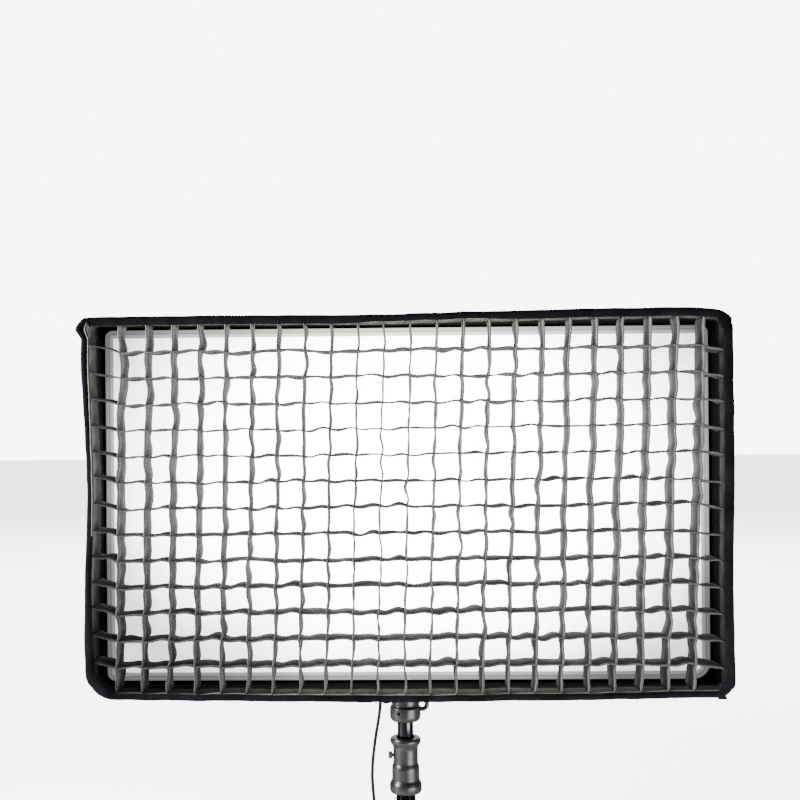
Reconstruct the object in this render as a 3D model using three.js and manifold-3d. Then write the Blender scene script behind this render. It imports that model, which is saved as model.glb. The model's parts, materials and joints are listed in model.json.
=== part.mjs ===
// A rectangular strip softbox with a fabric egg-crate grid, mounted on the LED panel lamp that lights
// it. The lamp hangs in a yoke, and the yoke's spigot turns in the casting on top of a stand's riser.
//
// Frame: millimetres, +Z up, the softbox faces -Y. The origin is the middle of the riser's lower end.
// Everything above the riser is placed about the tilt axis, which runs along X at height PIVOT_Z.

import * as THREE from "three";
import { mergeVertices } from "three/addons/utils/BufferGeometryUtils.js";
import { ConvexGeometry } from "three/addons/geometries/ConvexGeometry.js";
import Module from "manifold-3d";

const wasm = await Module();
wasm.setup();

// ---------------------------------------------------------------- driving dimensions

const GAP = 0.3; // clearance between pieces that touch on the real object
const PIVOT_Z = 820; // tilt axis above the riser's lower end

// Egg-crate grid
const COLUMNS = 24;
const ROWS = 14;
const CELL = 40;
const GRID_DEPTH = 50;
const STRIP = 1.2; // fabric of the grid

// Softbox skin: a straight lip at the front, then four panels that taper back to the ring
const FRONT_Y = -355;
const LIP_DEPTH = 100;
const LIP_WALL = 8;
const VELCRO = 2.8; // hook and loop tape between the grid and the lip
const SKIN_WALL = 4;
const SKIN_BACK_Y = -98;
const SKIN_BACK = { x: 324, z: 174 }; // half sizes of the small end

// Diffusers
const DIFFUSER_DEPTH = 105; // front diffuser behind the lip's edge
const BAFFLE = { x: 378, z: 200, y: -180 };
const CLOTH = 1.5;

// Corner rods, from their sockets in the ring to the pockets at the lip
const ROD_R = 4;
const ROD_FOOT = { x: 300, y: -100, z: 150 };
const ROD_TIP = { x: 458, y: -240, z: 262 };
const SOCKET_R = 9;
const SOCKET_LENGTH = 34;

// Ring that clips the softbox to the lamp
const RING = { x: 316, z: 166, bar: 26, front: -105, back: -93 };
const CORNER_BLOCK = 32;

// Lamp
const LAMP = { x: 310, z: 160, front: -82, back: 28, wall: 4 };
const BEZEL_DEPTH = 8;
const APERTURE = { x: 290, z: 140 };
const BOARD = { x: 295, z: 145 };
const FINS = 24;
const FIN_PITCH = 24;
const FAN_X = 190;
const FAN_R = 40;
const COVER_WALL = 4;

// Tilt pivots and yoke
const STUD_R = 6;
const BOSS_R = 24;
const BOSS_OUT = 322; // outer face of the lamp's bosses, from the middle
const ARM_WALL = 6;
const ARM_WIDTH = 36;
const YOKE_DROP = 336; // underside of the yoke's cross bar below the tilt axis
const BEND_R = 24;
const KNOB_R = 25;
const BOLT_R = 6;
const GLAND_R = 6.5;

// Spigot, the yoke's base and the stand's top casting
const SPIGOT_R = 14.3;
const BASE = { collar: 28, neck: 24.5, foot: -408, collarTop: -380 };
const CASTING = { top: -437, foot: -538 };
const RISER_R = 17.5;
const RISER_WALL = 2;

// Mains cord
const CORD_R = 3;
const GLAND = { x: -45, y: 9 };
const CORD_PATH = [[-45, 9, -366], [-45, 9, -376], [-47.5, 9, -400], [-55, 10, -445], [-60.5, 10, -493],
  [-60.5, 10, -525], [-58, 10, -556], [-57.5, 10, -580], [-58, 10, -604.7]];
const HANK = { x: -58, y: -5.5, z: -676, run: 100, bend: 18, layers: 6, pitch: 6.2 };
const PLUG_MAIN = { x: -58, y: -21, top: -757, half: 12, tall: 32, blade: 14 };

// ---------------------------------------------------------------- materials

const material = (color, roughness, metalness = 0) =>
  new THREE.MeshStandardMaterial({ color, roughness, metalness });
const fabric = material(0x17181c, 0.85);
const gridCloth = material(0x2c2c2b, 0.8);
const whiteCloth = material(0xf4f5f6, 0.7);
const opal = material(0xf8f8f8, 0.3);
const rodFinish = material(0x2a2c30, 0.35);
const blackPaint = material(0x1b1c1f, 0.45, 0.3);
const plastic = material(0x202124, 0.5);
const casting = material(0x6c6c70, 0.45, 0.9);
const chrome = material(0xc8ccd2, 0.12, 1);
const bareAluminium = material(0xb9bcc0, 0.4, 1);
const boardGreen = material(0xe9ecea, 0.5);
const cable = material(0x1c2026, 0.55);
const glass = material(0x10151a, 0.1);

// ---------------------------------------------------------------- shape helpers

// A closed geometry as a solid that can be cut and joined.
function solid(geometry) {
  const bare = geometry.clone();
  bare.deleteAttribute("normal");
  bare.deleteAttribute("uv");
  const merged = mergeVertices(bare, 1e-4);
  return new wasm.Manifold(
    new wasm.Mesh({
      numProp: 3,
      vertProperties: merged.attributes.position.array,
      triVerts: new Uint32Array(merged.index.array),
    }),
  );
}

// A cut or joined solid as a geometry again.
function shell(made) {
  const mesh = made.getMesh();
  const geometry = new THREE.BufferGeometry();
  geometry.setAttribute("position", new THREE.BufferAttribute(mesh.vertProperties, 3));
  geometry.setIndex(new THREE.BufferAttribute(mesh.triVerts, 1));
  geometry.computeVertexNormals();
  return geometry;
}

const joined = (...geometries) => geometries.map(solid).reduce((a, b) => a.add(b));

// A box from its low and high limits along each axis.
function block([x0, x1], [y0, y1], [z0, z1]) {
  return new THREE.BoxGeometry(x1 - x0, y1 - y0, z1 - z0).translate(
    (x0 + x1) / 2,
    (y0 + y1) / 2,
    (z0 + z1) / 2,
  );
}

// A profile of [radius, height] pairs turned about an axis. It runs anticlockwise.
function turned(profile, axis = "z", sides = 32) {
  const points = profile.map(([r, h]) => new THREE.Vector2(r, h));
  const made = new THREE.LatheGeometry(points, sides);
  if (axis === "z") made.rotateX(Math.PI / 2);
  if (axis === "x") made.rotateZ(-Math.PI / 2);
  return made;
}

const disc = (r, low, high, axis, sides) =>
  turned([[0, low], [r, low], [r, high], [0, high]], axis, sides);

const tube = (r, bore, low, high, axis, sides) =>
  turned([[bore, low], [r, low], [r, high], [bore, high], [bore, low]], axis, sides);

// A round bar between two points.
function bar(from, to, r, sides = 16) {
  const along = to.clone().sub(from);
  const turn = new THREE.Quaternion().setFromUnitVectors(
    new THREE.Vector3(0, 1, 0),
    along.clone().normalize(),
  );
  const middle = from.clone().add(to).multiplyScalar(0.5);
  return new THREE.CylinderGeometry(r, r, along.length(), sides)
    .applyQuaternion(turn)
    .translate(...middle);
}

// An outline in X and Z made thick along Y, from y down to y - depth.
function plate(outline, y, depth) {
  return new THREE.ExtrudeGeometry(outline, { depth, bevelEnabled: false, curveSegments: 8 })
    .rotateX(Math.PI / 2)
    .translate(0, y, 0);
}

// A rectangle, as a shape or as the path of a hole.
function rectangle(kind, x0, x1, z0, z1) {
  return new kind()
    .moveTo(x0, z0)
    .lineTo(x1, z0)
    .lineTo(x1, z1)
    .lineTo(x0, z1)
    .closePath();
}

// ---------------------------------------------------------------- assembly

const part = new THREE.Group();
const lamp = new THREE.Group(); // everything placed about the tilt axis
lamp.position.z = PIVOT_Z;
part.add(lamp);

function add(name, geometry, finish, place = [0, 0, 0]) {
  const mesh = new THREE.Mesh(geometry, finish);
  mesh.name = name;
  mesh.position.set(...place);
  lamp.add(mesh);
}

const SIDES = [["left", -1], ["right", 1]];
const LEVELS = [["bottom", -1], ["top", 1]];

// ---------------------------------------------------------------- egg-crate grid

const GRID_HALF = { x: (COLUMNS * CELL) / 2 + STRIP, z: (ROWS * CELL) / 2 + STRIP };
const LIP_IN = { x: GRID_HALF.x + VELCRO, z: GRID_HALF.z + VELCRO };
const LIP_OUT = { x: LIP_IN.x + LIP_WALL, z: LIP_IN.z + LIP_WALL };
const LIP_BACK_Y = FRONT_Y + LIP_DEPTH;

// One set of the grid's strips inside its own hem: uprights in front, crosspieces behind them.
function stripSet(count, half, acrossHalf, y0, y1, upright) {
  const pitch = (2 * half - STRIP * 2) / count;
  const side = (along, across, y) => (upright ? [along, y, across] : [across, y, along]);
  let made = solid(block(...side([-half, half], [-acrossHalf, acrossHalf], [y0, y1])));
  for (let cell = 0; cell < count; cell++) {
    const start = -half + STRIP + cell * pitch;
    const clear = acrossHalf - 2 * STRIP;
    made = made.subtract(
      solid(
        block(
          ...side(
            [start + STRIP / 2, start + pitch - STRIP / 2],
            [-clear, clear],
            [y0 - 1, y1 + 1],
          ),
        ),
      ),
    );
  }
  return shell(made);
}

const GRID_Y = FRONT_Y + 2;
const GRID_MID = GRID_Y + GRID_DEPTH / 2;
add("grid_uprights", stripSet(COLUMNS, GRID_HALF.x, GRID_HALF.z, GRID_Y, GRID_MID, true), gridCloth);
add(
  "grid_crosspieces",
  stripSet(ROWS, GRID_HALF.z, GRID_HALF.x, GRID_MID + GAP, GRID_Y + GRID_DEPTH, false),
  gridCloth,
);

// ---------------------------------------------------------------- softbox skin

// One tapering panel. Across is the axis it runs along, and face the side it covers.
function skinPanel(across, face) {
  const up = across === "x" ? "z" : "x";
  const corners = [];
  for (const [y, half] of [[LIP_BACK_Y + GAP, LIP_OUT], [SKIN_BACK_Y, SKIN_BACK]])
    for (const inset of [0, SKIN_WALL])
      for (const end of [-1, 1]) {
        const corner = new THREE.Vector3(0, y, 0);
        corner[across] = end * (half[across] - inset - GAP);
        corner[up] = face * (half[up] - inset);
        corners.push(corner);
      }
  return new ConvexGeometry(corners);
}

for (const [level, s] of LEVELS) {
  add(`skin_${level}`, skinPanel("x", s), fabric);
  add(
    `lip_${level}`,
    new THREE.BoxGeometry(2 * LIP_OUT.x, LIP_DEPTH, LIP_WALL),
    fabric,
    [0, FRONT_Y + LIP_DEPTH / 2, s * (LIP_OUT.z - LIP_WALL / 2)],
  );
}
for (const [side, s] of SIDES) {
  add(`skin_${side}`, skinPanel("z", s), fabric);
  add(
    `lip_${side}`,
    new THREE.BoxGeometry(LIP_WALL, LIP_DEPTH, 2 * (LIP_IN.z - GAP)),
    fabric,
    [s * (LIP_OUT.x - LIP_WALL / 2), FRONT_Y + LIP_DEPTH / 2, 0],
  );
}

// ---------------------------------------------------------------- diffusers

add(
  "front_diffuser",
  new THREE.BoxGeometry(2 * (LIP_IN.x - 2), CLOTH, 2 * (LIP_IN.z - 2)),
  whiteCloth,
  [0, FRONT_Y + DIFFUSER_DEPTH, 0],
);
add(
  "inner_baffle",
  new THREE.BoxGeometry(2 * BAFFLE.x, CLOTH, 2 * BAFFLE.z),
  whiteCloth,
  [0, BAFFLE.y, 0],
);

// ---------------------------------------------------------------- corner rods and ring

// Points on a corner's rod: its foot, its tip, and a place a given way along it.
function rodLine(sx, sz) {
  const foot = new THREE.Vector3(sx * ROD_FOOT.x, ROD_FOOT.y, sz * ROD_FOOT.z);
  const tip = new THREE.Vector3(sx * ROD_TIP.x, ROD_TIP.y, sz * ROD_TIP.z);
  const along = tip.clone().sub(foot).normalize();
  return { foot, tip, at: (distance) => foot.clone().addScaledVector(along, distance) };
}

const BORE_START = 8;

function cornerRod(sx, sz) {
  const line = rodLine(sx, sz);
  const length = line.tip.distanceTo(line.foot);
  const ferrule = bar(line.at(length - 14), line.at(length - 2), ROD_R + 2.5, 16);
  return shell(joined(bar(line.at(BORE_START + GAP), line.tip, ROD_R), ferrule));
}

// A side of the ring: its upright bar, two corner blocks and the rod sockets in them.
function sideBracket(sx) {
  const { x, z, bar: width, front, back } = RING;
  const reach = (a, b) => (sx > 0 ? [a, b] : [-b, -a]);
  let made = solid(block(reach(x - width, x), [front, back], [-z, z]));
  for (const sz of [-1, 1]) {
    const line = rodLine(sx, sz);
    const corner = sz > 0 ? [z - CORNER_BLOCK, z] : [-z, CORNER_BLOCK - z];
    made = made
      .add(solid(block(reach(x - CORNER_BLOCK, x), [front, back], corner)))
      .add(solid(bar(line.at(3), line.at(SOCKET_LENGTH), SOCKET_R)))
      .subtract(solid(bar(line.at(BORE_START), line.at(SOCKET_LENGTH + 5), ROD_R + 0.4)));
  }
  return shell(made);
}

const LATCH = { half: 20, y: -86, z: 169, length: 34, barrel: 4, pin: 2, knuckle: 8 };

// The ring's top or bottom bar, with two knuckles and a pin at the back for the latch.
function crossBar(sz) {
  const { x, z, bar: width, front, back } = RING;
  const end = x - CORNER_BLOCK - GAP;
  const high = (a, b) => (sz > 0 ? [a, b] : [-b, -a]);
  const { half, y, z: axis, barrel, pin, knuckle } = LATCH;
  let made = solid(block([-end, end], [front, back], high(z - width, z)));
  for (const sx of [-1, 1]) {
    const span = sx > 0 ? [half, half + knuckle] : [-half - knuckle, -half];
    made = made
      .add(solid(disc(barrel, ...span, "x", 16).translate(0, y, sz * axis)))
      .add(solid(block(span, [back - 1, y], high(axis - barrel, axis))));
  }
  const rod = disc(pin, -half - 1, half + 1, "x", 12).translate(0, y, sz * axis);
  return shell(made.add(solid(rod)));
}

// The latch: a barrel on the pin and a lever that lies along the lamp, with a hooked end.
function latch(sz) {
  const { half, y, z: axis, length, barrel, pin } = LATCH;
  const high = (a, b) => (sz > 0 ? [a, b] : [-b, -a]);
  const width = [GAP - half, half - GAP];
  return shell(
    joined(
      disc(barrel, ...width, "x", 16).translate(0, y, sz * axis),
      block(width, [y, y + length], high(axis, axis + barrel)),
      block([-12, 12], [y + length - 5, y + length], high(LAMP.z + 1, axis + 1)),
    ).subtract(solid(disc(pin + GAP, -half, half, "x", 12).translate(0, y, sz * axis))),
  );
}

for (const [side, sx] of SIDES) {
  for (const [level, sz] of LEVELS) add(`rod_${level}_${side}`, cornerRod(sx, sz), rodFinish);
  add(`ring_bracket_${side}`, sideBracket(sx), bareAluminium);
}
for (const [level, sz] of LEVELS) {
  add(`ring_bar_${level}`, crossBar(sz), bareAluminium);
  add(`latch_${level}`, latch(sz), plastic);
}

// ---------------------------------------------------------------- lamp

// A rectangular frame round an opening.
function frame(outer, inner, y, depth) {
  const outline = rectangle(THREE.Shape, -outer.x, outer.x, -outer.z, outer.z);
  outline.holes.push(rectangle(THREE.Path, -inner.x, inner.x, -inner.z, inner.z));
  return plate(outline, y, depth);
}

const LAMP_IN = { x: LAMP.x - LAMP.wall, z: LAMP.z - LAMP.wall };

// The housing: an open-ended box, with a ridge at the top and bottom for the latches' hooks.
function lampHousing() {
  const ridge = [LATCH.y + LATCH.length - 9, LATCH.y + LATCH.length - 5 - GAP];
  return shell(
    joined(
      frame(LAMP, LAMP_IN, LAMP.back, LAMP.back - LAMP.front),
      block([-18, 18], ridge, [LAMP.z - 1, LAMP.z + 3]),
      block([-18, 18], ridge, [-LAMP.z - 3, 1 - LAMP.z]),
    ),
  );
}
add("lamp_housing", lampHousing(), blackPaint);
add("front_bezel", frame(LAMP, APERTURE, LAMP.front - GAP, BEZEL_DEPTH), blackPaint);

const OPAL_Y = LAMP.front + 2;
const BOARD_Y = LAMP.front + 16;
const SINK_Y = BOARD_Y + 2 + GAP;
const SINK_BASE = 6;
const FIN_HEIGHT = 30;
const FIN_WALL = 3;

const slab = (half, y0, y1) => block([-half.x, half.x], [y0, y1], [-half.z, half.z]);
add("opal_panel", slab(BOARD, OPAL_Y, OPAL_Y + 3), opal);
add("led_board", slab(BOARD, BOARD_Y, BOARD_Y + 2), boardGreen);

// The heat sink's section in X and Y, extruded along Z.
function heatSink() {
  const outline = new THREE.Shape().moveTo(-BOARD.x, SINK_Y).lineTo(BOARD.x, SINK_Y);
  const base = SINK_Y + SINK_BASE;
  outline.lineTo(BOARD.x, base);
  for (let fin = FINS - 1; fin >= 0; fin--) {
    const x = (fin - (FINS - 1) / 2) * FIN_PITCH;
    outline.lineTo(x + FIN_WALL / 2, base);
    outline.lineTo(x + FIN_WALL / 2, base + FIN_HEIGHT);
    outline.lineTo(x - FIN_WALL / 2, base + FIN_HEIGHT);
    outline.lineTo(x - FIN_WALL / 2, base);
  }
  outline.lineTo(-BOARD.x, base).closePath();
  return new THREE.ExtrudeGeometry(outline, { depth: 2 * BOARD.z, bevelEnabled: false }).translate(
    0,
    0,
    -BOARD.z,
  );
}
add("heat_sink", heatSink(), bareAluminium);

const FAN_Y = SINK_Y + SINK_BASE + FIN_HEIGHT + 2; // front of the fan
const FAN_DEPTH = 25;
const HUB_R = 16;
const BLADES = 7;

// The fan's square frame, with the motor's seat held by struts at the back.
function fanFrame() {
  const { x, z } = { x: FAN_R + 3, z: FAN_R + 3 };
  const back = FAN_Y + FAN_DEPTH;
  let made = solid(block([-x, x], [FAN_Y, back], [-z, z]))
    .subtract(solid(disc(FAN_R, FAN_Y - 1, back + 1, "y", 32)))
    .add(solid(disc(HUB_R, back - 3, back, "y", 24)))
    .add(solid(disc(3, FAN_Y + 8, back - 1, "y", 12)));
  for (let strut = 0; strut < 4; strut++) {
    const arm = block([HUB_R - 2, FAN_R + 1], [back - 3, back], [-2, 2]);
    made = made.add(solid(arm.rotateY((strut + 0.5) * (Math.PI / 2))));
  }
  return shell(made);
}

// The rotor: a hub that covers the motor, with pitched blades.
function fanRotor() {
  const front = FAN_Y + 2;
  const back = FAN_Y + FAN_DEPTH - 5;
  let made = solid(disc(HUB_R, front, back, "y", 24));
  for (let blade = 0; blade < BLADES; blade++) {
    const vane = new THREE.BoxGeometry(FAN_R - HUB_R, 1.6, 18)
      .rotateX(Math.PI / 5)
      .translate((FAN_R + HUB_R) / 2 - 2, (front + back) / 2, 0)
      .rotateY((blade * 2 * Math.PI) / BLADES);
    made = made.add(solid(vane));
  }
  return shell(made.subtract(solid(disc(3 + GAP, FAN_Y + 6, back + 1, "y", 12))));
}

add("fan_frame", fanFrame(), plastic, [FAN_X, 0, 0]);
add("fan_rotor", fanRotor(), plastic, [FAN_X, 0, 0]);
add("power_supply", block([-120, 100], [FAN_Y, FAN_Y + 40], [-70, 70]), bareAluminium);

// The back cover, with louvres over the fan and over the far end of the heat sink.
function backCover() {
  const y = LAMP.back + GAP;
  let made = solid(slab(LAMP, y, y + COVER_WALL));
  for (const x of [-FAN_X, FAN_X])
    for (let slot = 0; slot < 8; slot++) {
      const z = (slot - 3.5) * 10;
      made = made.subtract(
        solid(block([x - 42, x + 42], [y - 1, y + COVER_WALL + 1], [z - 2.5, z + 2.5])),
      );
    }
  return shell(made);
}
const COVER_Y = LAMP.back + COVER_WALL + GAP;
add("back_cover", backCover(), blackPaint);

// ---------------------------------------------------------------- controls

const PANEL_Y = COVER_Y + GAP;
const PANEL_DEPTH = 8;
const PANEL = { x0: -110, x1: 110, z0: -135, z1: -65 };
const CONTROL_Z = -100;
const DIALS = [["dimmer_dial", 45], ["colour_dial", 82]];
const DIAL = { r: 13, height: 15, shaft: 3 };
const SWITCH = { x: -85, half: 9, tall: 13, well: 6, rock: THREE.MathUtils.degToRad(8) };

// The control panel, with a well for the rocker switch and a shaft for each dial.
function controlPanel() {
  const face = PANEL_Y + PANEL_DEPTH;
  const { x, half, tall, well } = SWITCH;
  const axle = disc(1.5, x - half - 1, x + half + 1, "x", 10);
  let made = solid(block([PANEL.x0, PANEL.x1], [PANEL_Y, face], [PANEL.z0, PANEL.z1]))
    .subtract(
      solid(
        block(
          [x - half - 0.5, x + half + 0.5],
          [face - well, face + 1],
          [CONTROL_Z - tall - 0.5, CONTROL_Z + tall + 0.5],
        ),
      ),
    )
    .add(solid(axle.translate(0, face - 1, CONTROL_Z)));
  for (const [, dialX] of DIALS)
    made = made.add(
      solid(disc(DIAL.shaft, face - 1, face + 10, "y", 12).translate(dialX, 0, CONTROL_Z)),
    );
  return shell(made);
}

// The rocker sits on a bar across its well, and its face is cranked so that one end stands out.
function rocker() {
  const face = PANEL_Y + PANEL_DEPTH;
  const { x, half, tall } = SWITCH;
  const section = new THREE.Shape()
    .moveTo(-tall + 1, 0)
    .lineTo(-tall + 1.5, 3.2)
    .lineTo(0, 1.2)
    .lineTo(tall - 1.5, 3.2)
    .lineTo(tall - 1, 0)
    .lineTo(0, -3.4)
    .closePath();
  const body = new THREE.ExtrudeGeometry(section, { depth: 2 * half, bevelEnabled: false })
    .rotateY(Math.PI / 2)
    .translate(x - half, 0.5, 0)
    .rotateX(-SWITCH.rock)
    .translate(0, face - 1, CONTROL_Z);
  const bore = disc(1.5 + GAP, x - half - 2, x + half + 2, "x", 10);
  return shell(solid(body).subtract(solid(bore.translate(0, face - 1, CONTROL_Z))));
}

function dial(x) {
  const face = PANEL_Y + PANEL_DEPTH + GAP;
  return shell(
    solid(
      turned(
        [[0, 0], [DIAL.r, 0], [DIAL.r, DIAL.height - 2], [DIAL.r - 2, DIAL.height], [0, DIAL.height]],
        "y",
        24,
      ),
    )
      .subtract(solid(disc(DIAL.shaft + GAP, -1, 11, "y", 12)))
      .translate([x, face, CONTROL_Z]),
  );
}

add("control_panel", controlPanel(), plastic);
for (const [name, x] of DIALS) add(name, dial(x), plastic);
add(
  "display",
  block([-58, 12], [PANEL_Y + PANEL_DEPTH + GAP, PANEL_Y + PANEL_DEPTH + 2], [-122, -80]),
  glass,
);

add("rocker_switch", rocker(), plastic);

// ---------------------------------------------------------------- tilt pivots and yoke

const ARM_IN = BOSS_OUT + 3; // inner face of the yoke's arms
const ARM_OUT = ARM_IN + ARM_WALL;
const STUD_OUT = ARM_OUT + 24;

// A boss on the lamp's side, with the threaded stud that passes through the yoke's arm.
function tiltBoss(s) {
  const wide = disc(BOSS_R, LAMP.x + GAP, BOSS_OUT, "x", 20);
  const made = joined(wide, disc(STUD_R, BOSS_OUT - 1, STUD_OUT, "x", 16));
  return shell(s > 0 ? made : made.mirror([1, 0, 0]));
}

function washer(s) {
  const ring = tube(BOSS_R - 2, STUD_R + GAP, BOSS_OUT + GAP, ARM_IN - GAP, "x", 20);
  return shell(s > 0 ? solid(ring) : solid(ring).mirror([1, 0, 0]));
}

// A lobed hand knob that screws onto the stud.
function tiltKnob(s) {
  const from = ARM_OUT + GAP;
  let made = solid(
    turned([[0, from], [14, from], [14, from + 6], [KNOB_R, from + 9], [KNOB_R, from + 24],
      [KNOB_R - 3, from + 27], [0, from + 27]], "x", 24),
  );
  for (let lobe = 0; lobe < 6; lobe++) {
    const turn = (lobe * Math.PI) / 3;
    const flute = disc(5, from + 7, from + 30, "x", 10);
    made = made.subtract(
      solid(flute.translate(0, (KNOB_R + 1.5) * Math.cos(turn), (KNOB_R + 1.5) * Math.sin(turn))),
    );
  }
  made = made.subtract(solid(disc(STUD_R + GAP, from - 1, STUD_OUT + 1, "x", 16)));
  return shell(s > 0 ? made : made.mirror([1, 0, 0]));
}

// The yoke: one flat bar bent into a U, bored for the studs and for the base's bolt.
function yoke() {
  const outer = new THREE.Shape();
  const low = -YOKE_DROP - ARM_WALL;
  const top = ARM_WIDTH / 2;
  outer.moveTo(-ARM_OUT, top).lineTo(-ARM_OUT, low + BEND_R);
  outer.absarc(-ARM_OUT + BEND_R, low + BEND_R, BEND_R, Math.PI, 1.5 * Math.PI);
  outer.lineTo(ARM_OUT - BEND_R, low);
  outer.absarc(ARM_OUT - BEND_R, low + BEND_R, BEND_R, 1.5 * Math.PI, 2 * Math.PI);
  outer.lineTo(ARM_OUT, top).lineTo(ARM_IN, top).lineTo(ARM_IN, low + BEND_R);
  const inner = BEND_R - ARM_WALL;
  outer.absarc(ARM_IN - inner, low + BEND_R, inner, 0, -0.5 * Math.PI, true);
  outer.lineTo(-ARM_IN + inner, -YOKE_DROP);
  outer.absarc(-ARM_IN + inner, low + BEND_R, inner, 1.5 * Math.PI, Math.PI, true);
  outer.lineTo(-ARM_IN, top);
  let made = solid(plate(outer, ARM_WIDTH / 2, ARM_WIDTH));
  made = made.subtract(solid(disc(STUD_R + GAP, -ARM_OUT - 1, ARM_OUT + 1, "x", 16)));
  made = made.subtract(solid(disc(BOLT_R + GAP, low - 1, -YOKE_DROP + 1, "z", 16)));
  const hole = disc(GLAND_R, low - 1, -YOKE_DROP + 1, "z", 20);
  return shell(made.subtract(solid(hole.translate(GLAND.x, GLAND.y, 0))));
}

for (const [side, s] of SIDES) {
  add(`tilt_boss_${side}`, tiltBoss(s), bareAluminium);
  add(`tilt_washer_${side}`, washer(s), plastic);
  add(`tilt_knob_${side}`, tiltKnob(s), plastic);
}
add("yoke", yoke(), blackPaint);

// ---------------------------------------------------------------- yoke base and spigot

const BASE_TOP = -YOKE_DROP - ARM_WALL - GAP;
const SPIGOT = { top: -382, foot: -505, groove: -470 };
const EYE = { z: -378, reach: 30.5, ring: 13, bore: 4.8, shank: 3, thick: 8 };

// The grey casting under the yoke: a neck, and a collar with a rounded foot and a set screw's hole.
function yokeBase() {
  const { collar, neck, foot, collarTop } = BASE;
  const body = turned(
    [[0, foot], [collar - 7, foot], [collar - 2, foot + 2.5], [collar, foot + 8],
      [collar, collarTop - 1.5], [collar - 1.5, collarTop], [neck, collarTop],
      [neck, BASE_TOP - 2], [neck - 2, BASE_TOP], [0, BASE_TOP]], "z", 28,
  );
  return shell(
    solid(body)
      .subtract(solid(disc(EYE.shank + GAP, 16, 40, "x", 12).translate(0, 0, EYE.z)))
      .subtract(solid(disc(BOLT_R + GAP, -370, BASE_TOP + 1, "z", 16)))
      .subtract(solid(disc(SPIGOT_R + GAP, foot - 1, SPIGOT.top + GAP, "z", 24)))
      .subtract(solid(disc(2.6, -collar - 1, -14, "y", 12).translate(-12.4, 0, -390))),
  );
}

// The eye that a safety cable clips to: a cast ring that fits the base's neck and collar.
function safetyEye() {
  const { z, ring, bore, shank, reach, thick } = EYE;
  const loop = tube(ring, bore, -thick / 2, thick / 2, "y", 24).translate(reach, 0, z);
  const neck = disc(BASE.neck + GAP, z - 30, z + 30, "z", 28);
  const collar = disc(BASE.collar + GAP, z - 30, BASE.collarTop + GAP, "z", 28);
  const stem = disc(shank, 17, reach - bore - 1, "x", 12).translate(0, 0, z);
  return shell(solid(loop).subtract(solid(neck)).subtract(solid(collar)).add(solid(stem)));
}

// The bolt that holds the base under the yoke's cross bar.
function baseBolt() {
  const head = disc(11, -YOKE_DROP + GAP, -YOKE_DROP + 8, "z", 6);
  return shell(joined(head, disc(BOLT_R, -369, -YOKE_DROP + 1, "z", 16)));
}

// The spigot, with the groove that the casting's lock screw enters.
function spigot() {
  const { top, foot, groove } = SPIGOT;
  const r = SPIGOT_R;
  return turned(
    [[0, foot], [r - 2, foot], [r, foot + 2], [r, groove - 6], [r - 2.5, groove - 4],
      [r - 2.5, groove + 4], [r, groove + 6], [r, top], [0, top]], "z", 24,
  );
}

add("yoke_base", yokeBase(), casting);
add("safety_eye", safetyEye(), casting);
add("base_bolt", baseBolt(), chrome);
add("spigot", spigot(), chrome);

// ---------------------------------------------------------------- stand's top casting and riser

const SCREW_Z = SPIGOT.groove;

// The casting that joins the riser to the spigot, bored from both ends.
function standCasting() {
  const { top, foot } = CASTING;
  const body = turned(
    [[0, foot], [25, foot], [28, foot + 3], [29.3, foot + 8], [29.3, foot + 16], [27, foot + 20],
      [25, foot + 23], [25, foot + 48], [23.5, foot + 51], [22.5, foot + 54], [22.5, top - 18],
      [24, top - 13], [27.5, top - 9], [27.5, top - 3], [25, top], [0, top]], "z", 28,
  );
  return shell(
    solid(body)
      .subtract(solid(disc(SPIGOT_R + GAP, SPIGOT.foot - GAP, top + 1, "z", 24)))
      .subtract(solid(disc(RISER_R + GAP, foot - 1, foot + 20, "z", 24)))
      .subtract(solid(disc(3 + GAP, -30, -10, "x", 12).translate(0, 0, SCREW_Z))),
  );
}

// The lock knob's screw presses on the spigot.
function castingKnob() {
  const head = turned(
    [[0, -31.5], [5, -31.5], [6.5, -30], [6.5, -25], [5.5, -24], [0, -24]], "x", 18,
  );
  return shell(
    joined(head, disc(3, -25, -SPIGOT_R - GAP, "x", 12)).translate([0, 0, SCREW_Z]),
  );
}

const RISER_TOP = CASTING.foot + 20 - GAP;
const PLUG_TOP = -PIVOT_Z + 30;

add("stand_casting", standCasting(), casting);
add("casting_knob", castingKnob(), plastic);
add(
  "riser",
  tube(RISER_R, RISER_R - RISER_WALL, -PIVOT_Z + 4, RISER_TOP, "z", 24),
  chrome,
);
add(
  "riser_plug",
  turned(
    [[0, -PIVOT_Z], [RISER_R, -PIVOT_Z], [RISER_R, -PIVOT_Z + 4 - GAP],
      [RISER_R - RISER_WALL - GAP, -PIVOT_Z + 4 - GAP], [RISER_R - RISER_WALL - GAP, PLUG_TOP],
      [0, PLUG_TOP]], "z", 24,
  ),
  plastic,
);

// ---------------------------------------------------------------- mains cord

// The gland that grips the cord where it leaves the yoke.
function cordGland() {
  const low = -YOKE_DROP - ARM_WALL;
  const made = turned(
    [[CORD_R + GAP, low - 26], [6.5, low - 26], [8.5, low - 16], [10, low - 14], [10, low - GAP],
      [GLAND_R - GAP, low - GAP], [GLAND_R - GAP, -YOKE_DROP + GAP], [9, -YOKE_DROP + GAP],
      [9, -YOKE_DROP + 4], [CORD_R + GAP, -YOKE_DROP + 4], [CORD_R + GAP, low - 26]], "z", 20,
  );
  return made;
}

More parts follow.
